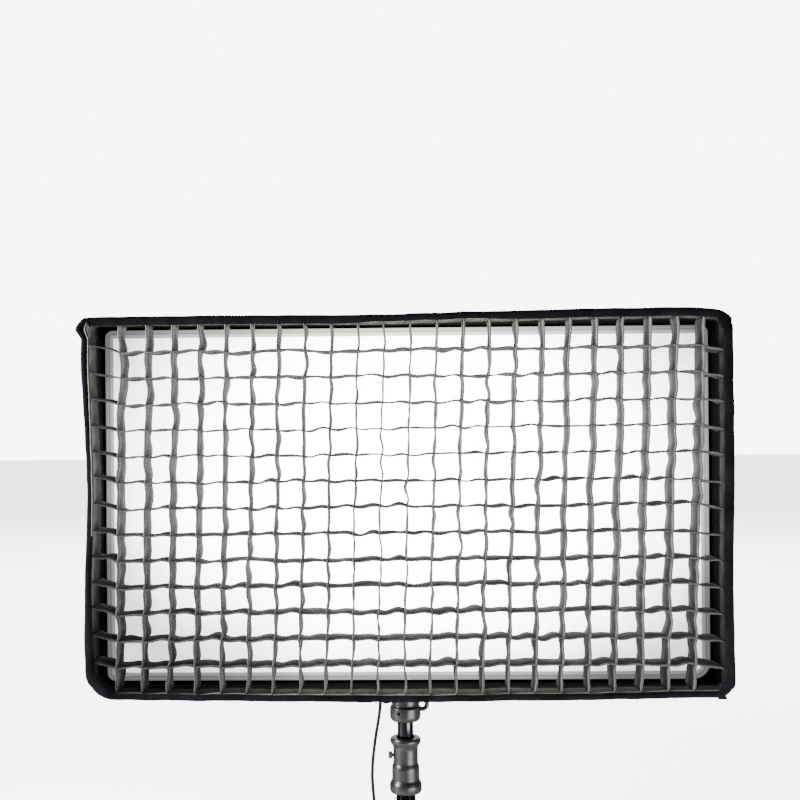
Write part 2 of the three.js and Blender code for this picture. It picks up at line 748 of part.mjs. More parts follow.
// A round cord along a curve.
function cordAlong(points, r, steps, sides = 8) {
  const curve = new THREE.CatmullRomCurve3(points.map((point) => new THREE.Vector3(...point)));
  const section = new THREE.Shape();
  for (let side = 0; side < sides; side++) {
    const turn = (side * 2 * Math.PI) / sides;
    if (side === 0) section.moveTo(r, 0);
    else section.lineTo(r * Math.cos(turn), r * Math.sin(turn));
  }
  section.closePath();
  return new THREE.ExtrudeGeometry(section, { steps, extrudePath: curve, bevelEnabled: false });
}

const HANK_HALF = {
  x: HANK.bend + CORD_R,
  y: (HANK.layers * HANK.pitch) / 2,
  z: HANK.run / 2 + HANK.bend + CORD_R,
};

// The spare cord's outer shape, folded into a hank: straight runs with a half turn at each end.
function cordHank() {
  const run = HANK.run / 2;
  const outline = new THREE.Shape().moveTo(HANK_HALF.x, -run).lineTo(HANK_HALF.x, run);
  outline.absarc(0, run, HANK_HALF.x, 0, Math.PI);
  outline.lineTo(-HANK_HALF.x, -run);
  outline.absarc(0, -run, HANK_HALF.x, Math.PI, 2 * Math.PI);
  return plate(outline, HANK_HALF.y, 2 * HANK_HALF.y);
}

// The strap round the hank's middle.
function cordTie() {
  const inner = { x: HANK_HALF.x + GAP, z: HANK_HALF.y + GAP };
  return frame({ x: inner.x + 1.5, z: inner.z + 1.5 }, inner, 8, 16).rotateX(Math.PI / 2);
}

// The mains plug: a moulded body, a tapered neck where the cord enters, two blades and a round pin.
function mainsPlug() {
  const { half, tall, blade } = PLUG_MAIN;
  const body = block([-half, half], [-half + 2, half - 2], [-tall, -8]);
  const neck = turned([[0, -9], [8, -9], [5, -0.3], [0, -0.3]], "z", 12);
  const blades = [-6.3, 6.3].map((x) =>
    block([x - 0.8, x + 0.8], [-5.2, 1.2], [-tall - blade, -tall + 1]),
  );
  const pin = disc(2.4, -tall - blade - 2, -tall + 1, "z", 10).translate(0, 5, 0);
  return shell(joined(body, neck, ...blades, pin));
}

add("cord_gland", cordGland(), plastic, [GLAND.x, GLAND.y, 0]);
add("cord", cordAlong([[GLAND.x, GLAND.y, -YOKE_DROP - 2], ...CORD_PATH], CORD_R, 20), cable);
add("cord_hank", cordHank(), cable, [HANK.x, HANK.y, HANK.z]);
add("cord_tie", cordTie(), fabric, [HANK.x, HANK.y, HANK.z]);
add("mains_plug", mainsPlug(), plastic, [PLUG_MAIN.x, PLUG_MAIN.y, PLUG_MAIN.top]);

export default part;
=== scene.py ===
"""The looks of the strip softbox: its cloth, castings, cord and light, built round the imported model.

Metres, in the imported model's frame: +Z up, the softbox faces -Y. Places come from that frame.
"""

import json
import math
import random

import bpy
from mathutils import Matrix, Vector, noise


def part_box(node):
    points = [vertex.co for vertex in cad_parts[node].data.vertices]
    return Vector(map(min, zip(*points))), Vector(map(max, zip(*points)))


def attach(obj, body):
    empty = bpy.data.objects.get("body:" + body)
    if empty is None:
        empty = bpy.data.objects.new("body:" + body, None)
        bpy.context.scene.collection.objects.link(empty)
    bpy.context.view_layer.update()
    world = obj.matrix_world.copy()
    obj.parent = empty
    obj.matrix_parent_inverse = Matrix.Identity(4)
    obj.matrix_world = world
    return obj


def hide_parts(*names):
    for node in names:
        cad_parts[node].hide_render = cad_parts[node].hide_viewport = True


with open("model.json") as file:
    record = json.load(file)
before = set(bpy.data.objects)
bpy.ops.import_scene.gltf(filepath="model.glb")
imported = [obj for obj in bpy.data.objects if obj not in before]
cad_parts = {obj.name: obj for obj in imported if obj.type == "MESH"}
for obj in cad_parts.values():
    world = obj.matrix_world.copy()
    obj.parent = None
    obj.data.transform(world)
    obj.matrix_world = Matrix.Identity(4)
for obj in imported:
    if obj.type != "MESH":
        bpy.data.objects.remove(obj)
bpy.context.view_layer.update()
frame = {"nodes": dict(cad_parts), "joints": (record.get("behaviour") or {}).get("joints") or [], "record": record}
MM = 0.001

# ---------------------------------------------------------------- places taken from the frame

TILT = Vector(next(j for j in frame["joints"] if j["name"] == "tilt")["pos_m"])
GRID_LOW, GRID_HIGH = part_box("grid_uprights")
GRID_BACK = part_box("grid_crosspieces")[1].y
LIP_LOW = Vector((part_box("lip_left")[0].x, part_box("lip_top")[0].y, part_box("lip_bottom")[0].z))
LIP_HIGH = Vector((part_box("lip_right")[1].x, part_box("lip_top")[1].y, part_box("lip_top")[1].z))
HALF_X, HALF_Z = LIP_HIGH.x, LIP_HIGH.z - TILT.z  # outer half sizes of the softbox's front
LIP_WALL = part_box("lip_right")[1].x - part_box("lip_right")[0].x
FRONT_Y = LIP_LOW.y
SKIN_BACK_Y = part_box("skin_top")[1].y
COLUMNS, ROWS = 24, 14

# ---------------------------------------------------------------- small helpers


def linked(name, data):
    """A new object with this data, in the scene."""
    made = bpy.data.objects.new(name, data)
    bpy.context.scene.collection.objects.link(made)
    return made


def shares(steps, first=0):
    """The numbers from 0 to 1 in so many equal steps, or those from a first step on."""
    return [k / steps for k in range(first, steps + 1)]


def ease(t):
    """From 0 to 1, starting and ending gently, as t goes from 0 to 1."""
    return t * t * (3 - 2 * t)


def smooth_bump(value, centre, width):
    """1 at the centre, falling smoothly to 0 at width to either side."""
    return ease(max(0.0, 1 - abs(value - centre) / width))


# ---------------------------------------------------------------- camera

# The camera looks level from a little above the softbox's middle, turned and rolled by about a degree.
CAMERA_DISTANCE = 1.736
CAMERA_ABOVE = 0.1025
CAMERA_ASIDE = -0.0326
CAMERA_YAW = math.radians(1.2)
CAMERA_ROLL = math.radians(0.45)
CAMERA_SHIFT = (0.0486, 0.05)
LENS_MM = 51.75


def add_camera():
    data = bpy.data.cameras.new("camera")
    data.lens, data.sensor_width = LENS_MM, 36
    data.shift_x, data.shift_y = CAMERA_SHIFT
    data.clip_start, data.clip_end = 0.05, 60
    camera = linked("camera", data)
    ahead = Vector((-math.sin(CAMERA_YAW), math.cos(CAMERA_YAW), 0))
    up = Vector((0, 0, 1))
    turn = Matrix((ahead.cross(up), up, -ahead)).transposed().to_4x4()
    place = Vector((CAMERA_ASIDE, FRONT_Y - CAMERA_DISTANCE, TILT.z + CAMERA_ABOVE))
    camera.matrix_world = Matrix.Translation(place) @ turn @ Matrix.Rotation(-CAMERA_ROLL, 4, "Z")
    bpy.context.scene.camera = camera


add_camera()

# ---------------------------------------------------------------- mains cord

CORD_R = 3 * MM
# The cord's route from inside the gland to the hank, in mm about the tilt axis.
CORD_PATH = [(-45, 9, -364), (-45, 9, -376), (-47.5, 9, -400), (-55, 10, -445), (-60.5, 10, -493),
             (-60.5, 10, -525), (-58, 10, -556), (-57.5, 10, -580), (-58, 10, -604.7)]
HANK_LOW, HANK_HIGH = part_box("cord_hank")
HANK = (HANK_LOW + HANK_HIGH) / 2
HANK_BEND = HANK_HIGH.x - HANK.x - CORD_R
HANK_RUN = HANK_HIGH.z - HANK.z - CORD_R - HANK_BEND  # half the length of a straight run
LAYERS = 6
LAYER_PITCH = (HANK_HIGH.y - HANK_LOW.y) / LAYERS
BEND_STEPS = 10


def spline_through(points, step):
    """Points a step apart on a smooth curve through these ones (a Catmull-Rom spline)."""
    points = [Vector(p) for p in points]
    padded = [2 * points[0] - points[1]] + points + [2 * points[-1] - points[-2]]
    path = []
    for a, b, c, d in zip(padded, padded[1:], padded[2:], padded[3:]):
        count = max(1, round((c - b).length / step))
        for k in range(count):
            t = k / count
            path.append(0.5 * (2 * b + (c - a) * t + (2 * a - 5 * b + 4 * c - d) * t * t
                               + (3 * b - a - 3 * c + d) * t ** 3))
    return path + [points[-1]]


def layer_y(layer):
    """The middle of a layer of the hank, counted from the rear."""
    return HANK_HIGH.y - LAYER_PITCH * (layer + 0.5)


def half_turn(layer, z, side):
    """Half a turn of cord about a height z: over it to the left (side 1) or under it to the right (-1)."""
    bend = []
    for t in shares(BEND_STEPS, 1):
        across, up = HANK_BEND * math.cos(math.pi * t), HANK_BEND * math.sin(math.pi * t)
        bend.append(Vector((HANK.x + side * across, layer_y(layer), z + side * up)))
    return bend


def hank_turns():
    """The hank: down in its rear layer, then a flat turn in each layer, and out below at the front."""
    top, bottom = HANK.z + HANK_RUN, HANK.z - HANK_RUN
    left, right = HANK.x - HANK_BEND, HANK.x + HANK_BEND
    path = [Vector((HANK.x, layer_y(0), HANK_HIGH.z - 1 * MM))]
    start, end = top + 8 * MM, bottom + 24 * MM
    for t in shares(8):  # from the middle across to the left run
        path.append(Vector((HANK.x - HANK_BEND * ease(t), layer_y(0), start + (end - start) * t)))
    path.append(Vector((left, layer_y(0), bottom)))
    for layer in range(LAYERS - 1):
        path += half_turn(layer, bottom, -1)
        for t in shares(8, 1):  # up the right run, and forward into the next layer
            y = layer_y(layer) + (layer_y(layer + 1) - layer_y(layer)) * ease(t)
            path.append(Vector((right, y, bottom + (top - bottom) * t)))
        path += half_turn(layer + 1, top, 1)
        last = layer == LAYERS - 2
        low = bottom + 20 * MM if last else bottom
        for t in shares(6, 1):
            path.append(Vector((left, layer_y(layer + 1), top + (low - top) * t)))
    plug_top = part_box("mains_plug")[1].z
    for t in shares(8, 1):  # back to the middle, where the plug hangs
        z = low + (plug_top - low) * t
        path.append(Vector((left + HANK_BEND * ease(t), layer_y(LAYERS - 1), z)))
    return path


def cord_curve():
    """The whole cord as one round curve: the stretch that hangs, then the hank."""
    down = [Vector(p) * MM + Vector((0, 0, TILT.z)) for p in CORD_PATH]
    points = spline_through(down, 13 * MM) + hank_turns()
    data = bpy.data.curves.new("cord_curve", "CURVE")
    data.dimensions = "3D"
    data.bevel_depth, data.bevel_resolution, data.use_fill_caps = 1, 5, True  # the points hold the radius
    data.resolution_u = 4
    spline = data.splines.new("NURBS")
    spline.points.add(len(points) - 1)
    for point, place in zip(spline.points, points):
        point.co = (*place, 1)
        point.radius = CORD_R
    spline.order_u, spline.use_endpoint_u = 3, True
    made = linked("mains_cord", data)
    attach(made, "yoke")
    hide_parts("cord", "cord_hank")
    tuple(points[0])
    return made


mains_cord = cord_curve()

# ---------------------------------------------------------------- materials


class Finish:
    """A node material: a Principled shader with short calls for the patterns that it uses."""

    def __init__(self, name, colour, roughness, **sockets):
        self.material = bpy.data.materials.new(name)
        self.material.use_nodes = True
        self.tree = self.material.node_tree
        self.shader = self.tree.nodes["Principled BSDF"]
        self.set("Base Color", (*colour, 1))
        self.set("Roughness", roughness)
        for socket, value in sockets.items():
            self.set(socket.replace("_", " ").title().replace("Ior", "IOR"), value)
        self.coords = self.node("ShaderNodeTexCoord").outputs["Object"]
        self.bumps = []

    def set(self, socket, value):
        self.shader.inputs[socket].default_value = value

    def node(self, kind, **inputs):
        made = self.tree.nodes.new(kind)
        for socket, value in inputs.items():
            self.plug(made.inputs[socket.replace("_", " ")], value)
        return made

    def plug(self, socket, value):
        if isinstance(value, bpy.types.NodeSocket):
            self.tree.links.new(value, socket)
        else:
            socket.default_value = value

    def math(self, operation, a, b=0.0):
        made = self.tree.nodes.new("ShaderNodeMath")
        made.operation = operation
        self.plug(made.inputs[0], a)
        self.plug(made.inputs[1], b)
        return made.outputs[0]

    def distance(self, a, b):
        """The length of the vector (a, b)."""
        squares = [self.math("MULTIPLY", value, value) for value in (a, b)]
        return self.math("SQRT", self.math("ADD", *squares))

    def axis(self, name):
        return self.node("ShaderNodeSeparateXYZ", Vector=self.coords).outputs[name]

    def noise(self, scale, detail=3.0, roughness=0.55, coords=None):
        return self.node(
            "ShaderNodeTexNoise",
            Vector=coords or self.coords,
            Scale=scale,
            Detail=detail,
            Roughness=roughness,
        ).outputs["Fac"]

    def ramp(self, factor, *stops):
        """A colour ramp. Each stop is (place, colour)."""
        made = self.node("ShaderNodeValToRGB", Fac=factor)
        elements = made.color_ramp.elements
        while len(elements) < len(stops):
            elements.new(0.5)
        for element, (place, colour) in zip(elements, stops):
            element.position, element.color = place, (*colour, 1)
        return made.outputs["Color"]

    def shades(self, factor, dark, light):
        self.plug(self.shader.inputs["Base Color"], self.ramp(factor, (0.3, dark), (0.7, light)))

    def roughen(self, factor, low, high):
        made = self.node("ShaderNodeMapRange", Value=factor)
        self.plug(made.inputs["To Min"], low)
        self.plug(made.inputs["To Max"], high)
        self.plug(self.shader.inputs["Roughness"], made.outputs["Result"])

    def bump(self, height, distance, strength=1.0):
        made = self.node("ShaderNodeBump", Height=height, Distance=distance, Strength=strength)
        if self.bumps:
            self.plug(made.inputs["Normal"], self.bumps[-1])
        self.bumps.append(made.outputs["Normal"])
        self.plug(self.shader.inputs["Normal"], made.outputs["Normal"])

    def multiply(self, a, b):
        """The product of two colours."""
        mixed = self.node("ShaderNodeMix")
        mixed.data_type, mixed.blend_type = "RGBA", "MULTIPLY"
        self.plug(mixed.inputs["Factor"], 1.0)
        self.plug(mixed.inputs[6], a)
        self.plug(mixed.inputs[7], b)
        return mixed.outputs[2]

    def brushed(self, scale, distance, strength=0.4):
        """Fine lines: noise stretched by its scale along X, Y and Z."""
        fine = self.node("ShaderNodeMapping", Vector=self.coords, Scale=scale)
        self.bump(self.noise(1, 2, coords=fine.outputs["Vector"]), distance, strength)

    def weave(self, pitch, distance, strength=0.6):
        """Threads over and under, as two crossed waves along the piece's X, Y and Z."""
        lines = [
            self.math("SINE", self.math("MULTIPLY", self.axis(name), 2 * math.pi / pitch))
            for name in "XYZ"
        ]
        crossed = self.math("MULTIPLY", self.math("ADD", lines[0], lines[1]), lines[2])
        self.bump(crossed, distance, strength)

    def ripstop(self, pitch, distance):
        """The thicker threads of ripstop cloth, a raised line every pitch along X, Y and Z."""
        raised = None
        for name in "XYZ":
            wave = self.math("SINE", self.math("MULTIPLY", self.axis(name), math.pi / pitch))
            line = self.math("POWER", self.math("SUBTRACT", 1.0, self.math("ABSOLUTE", wave)), 8.0)
            raised = line if raised is None else self.math("MAXIMUM", raised, line)
        self.bump(raised, distance, 0.5)


def skin_cloth():
    cloth = Finish("skin_cloth", (0.0045, 0.0046, 0.005), 0.6, specular_ior_level=0.03)
    cloth.shades(cloth.noise(26, 5), (0.0035, 0.0036, 0.004), (0.0055, 0.0057, 0.0064))
    cloth.roughen(cloth.noise(60), 0.38, 0.62)
    cloth.ripstop(6 * MM, 0.15 * MM)
    cloth.weave(1.1 * MM, 0.05 * MM)
    cloth.bump(cloth.noise(9, 4), 3 * MM, 0.5)
    return cloth.material


def silver_cloth():
    cloth = Finish("silver_lining", (0.6, 0.61, 0.63), 0.35, metallic=0.85)
    cloth.shades(cloth.noise(30), (0.5, 0.51, 0.53), (0.7, 0.71, 0.73))
    cloth.roughen(cloth.noise(80), 0.25, 0.45)
    cloth.bump(cloth.noise(50, 5), 0.6 * MM)
    return cloth.material


def lip_cloth():
    cloth = Finish("lip_cloth", (0.0035, 0.0037, 0.0042), 0.55, specular_ior_level=0.0)
    cloth.shades(cloth.noise(25, 4), (0.0015, 0.0017, 0.002), (0.0045, 0.0049, 0.0058))
    cloth.weave(1.3 * MM, 0.08 * MM)
    cloth.bump(cloth.noise(22, 4), 2.2 * MM, 0.6)
    return cloth.material


def grid_fabric_painted_shade(name, colour, bottom, corner, *stops):
    """Grid fabric with painted light and shade, which changes with depth. Each stop is (mm behind the front edge,
    painted brightness); deep inside the grid the cloth is painted into shade.

    bottom is the painted shade at the foot of the grid, and corner further painted shade at the lower left corner.
    """
    cloth = Finish(name, colour, 0.85, specular_ior_level=0.0)
    dark, light = [c * 0.75 for c in colour], [c * 1.25 for c in colour]
    cloudy = cloth.ramp(cloth.noise(40, 4), (0.3, dark), (0.7, light))
    deepest = 60  # mm, the far end of the ramp
    deep = cloth.math("DIVIDE", cloth.math("SUBTRACT", cloth.axis("Y"), FRONT_Y), deepest * MM)
    # painted shade: the cloth is darkened by depth behind the front edge, towards the foot of the grid and near
    # the lower left corner
    shade = cloth.ramp(deep, *[(mm / deepest, (level,) * 3) for mm, level in stops])
    z = cloth.math("SUBTRACT", cloth.axis("Z"), TILT.z - HALF_Z)
    painted_low_shade = cloth.ramp(cloth.math("DIVIDE", z, 2 * HALF_Z), (0.0, (bottom,) * 3), (1.0, (1.0,) * 3))
    x = cloth.math("SUBTRACT", cloth.axis("X"), -HALF_X)
    away = cloth.distance(x, z)
    painted_corner_shade = cloth.ramp(cloth.math("DIVIDE", away, 0.5), (0.2, (corner,) * 3), (0.68, (1.0,) * 3))
    tint = cloth.multiply(cloth.multiply(cloudy, shade), cloth.multiply(painted_low_shade, painted_corner_shade))
    cloth.plug(cloth.shader.inputs["Base Color"], tint)
    cloth.weave(1.2 * MM, 0.03 * MM)
    cloth.bump(cloth.noise(70, 3), 0.5 * MM, 0.4)
    return cloth.material


def piping_cloth():
    """The piping along the front's left side, lighter than the black tape: its light line is partly its own sheen
    and partly painted highlight.
    """
    cloth = Finish("piping_cloth", (0.012, 0.0125, 0.014), 0.5, specular_ior_level=0.15)
    cloth.shades(cloth.noise(90, 3), (0.008, 0.0085, 0.0095), (0.016, 0.0165, 0.0185))
    cloth.weave(1.0 * MM, 0.05 * MM)
    return cloth.material


DIFFUSER_CORNER = 12 * MM
LOOSE_CORNER = 26 * MM  # at the lower right, where the cloth has drawn in


def edge_distance(cloth, half_x, half_z, radius):
    """How far a point is inside a rounded rectangle about the tilt axis, as a node output in metres."""
    x, z = cloth.axis("X"), cloth.math("SUBTRACT", cloth.axis("Z"), TILT.z)
    over = []
    for value, half in ((x, half_x), (z, half_z)):
        straight = cloth.math("SUBTRACT", half, radius)
        over.append(cloth.math("SUBTRACT", cloth.math("ABSOLUTE", value), straight))
    arc = cloth.distance(*[cloth.math("MAXIMUM", value, 0.0) for value in over])
    inner = cloth.math("MINIMUM", cloth.math("MAXIMUM", over[0], over[1]), 0.0)
    return cloth.math("SUBTRACT", radius, cloth.math("ADD", arc, inner))


def glowing_cloth():
    """The front diffuser: white cloth with a painted glow in place of the lamp's light from behind, brightest in
    front of the lamp, with a doubled hem.
    """
    cloth = Finish("glowing_cloth", (0.5, 0.5, 0.5), 0.85, specular_ior_level=0.1)
    x = cloth.math("DIVIDE", cloth.math("SUBTRACT", cloth.axis("X"), 0.01), 0.56)
    z = cloth.math("DIVIDE", cloth.math("SUBTRACT", cloth.axis("Z"), TILT.z + 0.05), 0.4)
    away = cloth.distance(x, z)
    # painted light: the glow falls off from the middle, patchily, and turns dimmer and bluer towards the edges
    cloudy = cloth.math("MULTIPLY", cloth.math("SUBTRACT", cloth.noise(6, 3), 0.5), 0.22)
    patchy = cloth.math("ADD", away, cloudy)
    colour = cloth.ramp(
        patchy,
        (0.0, (1.0, 1.0, 1.0)),
        (0.6, (1.0, 1.0, 1.0)),
        (0.85, (0.86, 0.9, 0.95)),
        (1.0, (0.78, 0.82, 0.88)),
    )
    power = cloth.node("ShaderNodeMapRange", Value=patchy)
    power.interpolation_type = "SMOOTHSTEP"
    for socket, value in (("From Min", 0.35), ("From Max", 1.05), ("To Min", 16.0), ("To Max", 1.9)):
        cloth.plug(power.inputs[socket], value)
    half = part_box("front_diffuser")[1]
    right = cloth.math("GREATER_THAN", cloth.axis("X"), 0.0)
    lower = cloth.math("LESS_THAN", cloth.axis("Z"), TILT.z)
    extra = cloth.math("MULTIPLY", cloth.math("MULTIPLY", right, lower), LOOSE_CORNER - DIFFUSER_CORNER)
    inside = edge_distance(cloth, half.x, half.z - TILT.z, cloth.math("ADD", extra, DIFFUSER_CORNER))
    # the doubled hem and its stitching, painted as darker bands in the glow
    hem = cloth.ramp(
        cloth.math("DIVIDE", inside, 20 * MM),
        (0.0, (0.10, 0.095, 0.085)),
        (0.26, (0.15, 0.143, 0.128)),
        (0.32, (0.06, 0.057, 0.05)),
        (0.38, (0.17, 0.163, 0.148)),
        (0.56, (0.24, 0.232, 0.215)),
        (0.62, (0.13, 0.125, 0.115)),
        (0.72, (1.0, 1.0, 1.0)),
    )
    tinted = cloth.multiply(colour, hem)
    cloth.plug(cloth.shader.inputs["Emission Color"], tinted)
    cloth.plug(cloth.shader.inputs["Emission Strength"], power.outputs["Result"])
    cloth.plug(cloth.shader.inputs["Base Color"], tinted)
    cloth.weave(1.0 * MM, 0.04 * MM, 0.3)
    return cloth.material


def webbing():
    cloth = Finish("webbing", (0.004, 0.004, 0.005), 0.7, specular_ior_level=0.08)
    cloth.weave(2.0 * MM, 0.3 * MM)
    cloth.roughen(cloth.noise(200), 0.55, 0.8)
    return cloth.material


def powder_coat():
    paint = Finish("powder_coat", (0.005, 0.0052, 0.0058), 0.42, specular_ior_level=0.1)
    paint.shades(paint.noise(9, 3), (0.004, 0.0042, 0.0047), (0.0068, 0.007, 0.0077))
    paint.roughen(paint.noise(35), 0.34, 0.52)
    paint.bump(paint.noise(1400, 2), 0.06 * MM, 0.6)
    return paint.material


def black_plastic():
    plastic = Finish("black_plastic", (0.008, 0.008, 0.009), 0.5, specular_ior_level=0.25)
    plastic.roughen(plastic.noise(70), 0.4, 0.6)
    plastic.bump(plastic.noise(900, 2), 0.04 * MM, 0.5)
    return plastic.material


def cast_metal():
    """Dark grey cast alloy, satin and faintly mottled."""
    metal = Finish("cast_metal", (0.017, 0.0165, 0.017), 0.33, metallic=0.85)
    metal.shades(metal.noise(90, 4, 0.6), (0.0145, 0.014, 0.0145), (0.0195, 0.0188, 0.019))
    metal.set("Specular Tint", (0.3, 0.3, 0.3, 1))
    metal.roughen(metal.noise(90, 3, 0.6), 0.29, 0.37)
    metal.bump(metal.noise(500, 2), 0.01 * MM, 0.15)
    return metal.material


def polished_steel():
    steel = Finish("polished_steel", (0.0065, 0.0066, 0.0074), 0.06, metallic=1.0)
    steel.set("Specular Tint", (0.3, 0.3, 0.3, 1))
    steel.roughen(steel.noise(40, 5), 0.05, 0.1)
    steel.brushed((60, 60, 3000), 0.002 * MM, 0.2)
    return steel.material


def bare_aluminium():
    metal = Finish("bare_aluminium", (0.3, 0.303, 0.31), 0.35, metallic=1.0)
    metal.roughen(metal.noise(50, 4), 0.28, 0.45)
    metal.brushed((2500, 40, 40), 0.02 * MM)
    return metal.material


def anodised_black():
    metal = Finish("anodised_black", (0.015, 0.0155, 0.018), 0.38, metallic=0.8, specular_ior_level=0.2)
    metal.roughen(metal.noise(45, 4), 0.3, 0.46)
    metal.brushed((40, 40, 1800), 0.02 * MM)
    return metal.material


def rod_finish():
    rod = Finish("rod_finish", (0.05, 0.052, 0.058), 0.28, metallic=0.4)
    rod.roughen(rod.noise(90, 4), 0.22, 0.38)
    return rod.material


def rubber_jacket():
    rubber = Finish("rubber_jacket", (0.0045, 0.005, 0.006), 0.6, specular_ior_level=0.02)
    rubber.roughen(rubber.noise(120, 4), 0.38, 0.58)
    rubber.bump(rubber.noise(500, 3), 0.08 * MM, 0.5)
    return rubber.material


# painted shade: near black, standing in for the shade inside the set screw's hole
def painted_hole_shade():
    hole = Finish("painted_hole_shade", (0.001, 0.001, 0.001), 0.9, specular_ior_level=0.0)
    hole.shades(hole.noise(300), (0.0006, 0.0006, 0.0006), (0.0016, 0.0016, 0.0016))
    return hole.material


def foam():
    black = Finish("foam", (0.004, 0.004, 0.004), 0.95, specular_ior_level=0.0)
    black.bump(black.noise(900, 2), 0.3 * MM)
    return black.material


def opal_plastic():
    opal = Finish("opal_plastic", (0.85, 0.86, 0.87), 0.3)
    opal.set("Emission Color", (1.0, 0.99, 0.97, 1))
    opal.set("Emission Strength", 6.0)
    opal.bump(opal.noise(300, 2), 0.05 * MM, 0.4)
    return opal.material


def circuit_board():
    board = Finish("circuit_board", (0.72, 0.74, 0.72), 0.5)
    board.shades(board.noise(30, 3), (0.62, 0.64, 0.62), (0.8, 0.82, 0.8))
    return board.material


def display_glass():
    glass = Finish("display_glass", (0.006, 0.008, 0.011), 0.08, coat_weight=0.6)
    glass.roughen(glass.noise(60, 4), 0.05, 0.14)
    return glass.material


def lit_segment():
    segment = Finish("lit_segment", (0.25, 0.75, 0.85), 0.4)
    segment.set("Emission Color", (0.35, 0.85, 1.0, 1))
    segment.set("Emission Strength", 1.6)
    segment.roughen(segment.noise(200), 0.3, 0.5)
    return segment.material


def printed_mark():
    ink = Finish("printed_mark", (0.62, 0.63, 0.64), 0.6)
    ink.roughen(ink.noise(300), 0.5, 0.75)
    return ink.material


# Painted shade on the grid's cloth: darker deep inside, towards the foot and near the lower left corner; behind
# its front the border is painted into near-black shade.
UPRIGHT = grid_fabric_painted_shade("upright_cloth", (0.13, 0.13, 0.124), 0.55, 0.6,
                          (2, 0.4), (8, 1.0), (40, 1.0), (51, 0.3))
CROSSPIECE = grid_fabric_painted_shade("crosspiece_cloth", (0.08, 0.08, 0.077), 0.7, 0.65,
                             (2, 0.5), (12, 1.0), (40, 1.0), (51, 0.4))
BORDER = grid_fabric_painted_shade("border_cloth", (0.095, 0.091, 0.082), 0.9, 0.3,
                         (2, 1.0), (34, 0.85), (42, 0.1), (52, 0.03))
SKIN, SILVER, LIP, GLOW = skin_cloth(), silver_cloth(), lip_cloth(), glowing_cloth()
PIPING, WEBBING, PAINT, PLASTIC = piping_cloth(), webbing(), powder_coat(), black_plastic()
CAST, STEEL, ALUMINIUM, ANODISED = cast_metal(), polished_steel(), bare_aluminium(), anodised_black()
ROD, RUBBER, OPAL, BOARD = rod_finish(), rubber_jacket(), opal_plastic(), circuit_board()
GLASS, SEGMENT, MARK = display_glass(), lit_segment(), printed_mark()
HOLE_SHADE, FOAM = painted_hole_shade(), foam()

mains_cord.data.materials.append(RUBBER)

# ---------------------------------------------------------------- mesh helpers


def piece(name, vertices, faces, material, body, slot):
    """A smooth-shaded mesh of one material, which rides on a body."""
    mesh = bpy.data.meshes.new(name)
    mesh.from_pydata([tuple(v) for v in vertices], [], faces)
    mesh.validate()
    mesh.materials.append(material)
    mesh.shade_smooth()
    made = linked(name, mesh)
    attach(made, body)
    return made


def net(rows, closed_rows=False, closed_columns=False):
    """Vertices and quads of a net of points. A closed net joins its last row or column to its first."""
    width = len(rows[0])
    faces = []
    for r in range(len(rows) if closed_rows else len(rows) - 1):
        for c in range(width if closed_columns else width - 1):
            below = (r + 1) % len(rows)
            beside = (c + 1) % width
            faces.append(
                (r * width + c, r * width + beside, below * width + beside, below * width + c)
            )
    return [point for row in rows for point in row], faces


def sheet_net(columns, rows, place):
    """A net of the points place(u, v), with u from 0 to 1 across the columns and v down the rows."""
    return net([[place(u, v) for u in shares(columns)] for v in shares(rows)])


def thicken(made, thickness, offset=0.0):
    """Gives a sheet its thickness: about its middle (offset 0), or all on its inner side (-1)."""
    modifier = made.modifiers.new("thickness", "SOLIDIFY")
    modifier.thickness, modifier.offset = thickness, offset
    modifier.use_even_offset = False
    return modifier


def bevelled(obj, width):
    """Rounds the sharp edges of an object."""
    modifier = obj.modifiers.new("bevel", "BEVEL")
    modifier.width, modifier.segments, modifier.limit_method = width, 2, "ANGLE"
    modifier.angle_limit = math.radians(35)
    modifier.harden_normals = True
    return obj


def rounded_profile(points, radius):
    """A profile with each of its corners turned into a short curve."""
    smooth = [points[0]]
    for before, corner, after in zip(points, points[1:], points[2:]):
        a, b, c = Vector(before), Vector(corner), Vector(after)
        start = b + (a - b).normalized() * min(radius, (a - b).length * 0.49)
        end = b + (c - b).normalized() * min(radius, (c - b).length * 0.49)
        for t in shares(5):
            smooth.append(tuple(start * (1 - t) ** 2 + b * 2 * t * (1 - t) + end * t * t))
    return smooth + [points[-1]]


def lathe(name, profile, material, body, slot, at=(0, 0, 0), axis="Z", turns=96):
    """A profile of (radius, height) turned round an axis through a point."""
    rows = []
    for k in range(turns):
        angle = 2 * math.pi * k / turns
        c, s = math.cos(angle), math.sin(angle)
        place = {"Z": lambda r, h: (r * c, r * s, h), "Y": lambda r, h: (r * s, h, r * c),
                 "X": lambda r, h: (h, r * c, r * s)}[axis]
        rows.append([Vector(at) + Vector(place(r, h)) for r, h in profile])
    vertices, faces = net(rows, closed_rows=True)
    return piece(name, vertices, [face[::-1] for face in faces], material, body, slot)


def box_piece(name, low, high, material, body, slot):
    """A small printed or lit mark: a box between two corners, with its edges bevelled."""
    corners = [(x, y, z) for x in (low[0], high[0]) for y in (low[1], high[1]) for z in (low[2], high[2])]
    faces = [(0, 1, 3, 2), (4, 6, 7, 5), (0, 4, 5, 1), (2, 3, 7, 6), (0, 2, 6, 4), (1, 5, 7, 3)]
    return bevelled(piece(name, corners, faces, material, body, slot), 0.05 * MM)


# ---------------------------------------------------------------- the soft front outline

ARC_STEPS = 8


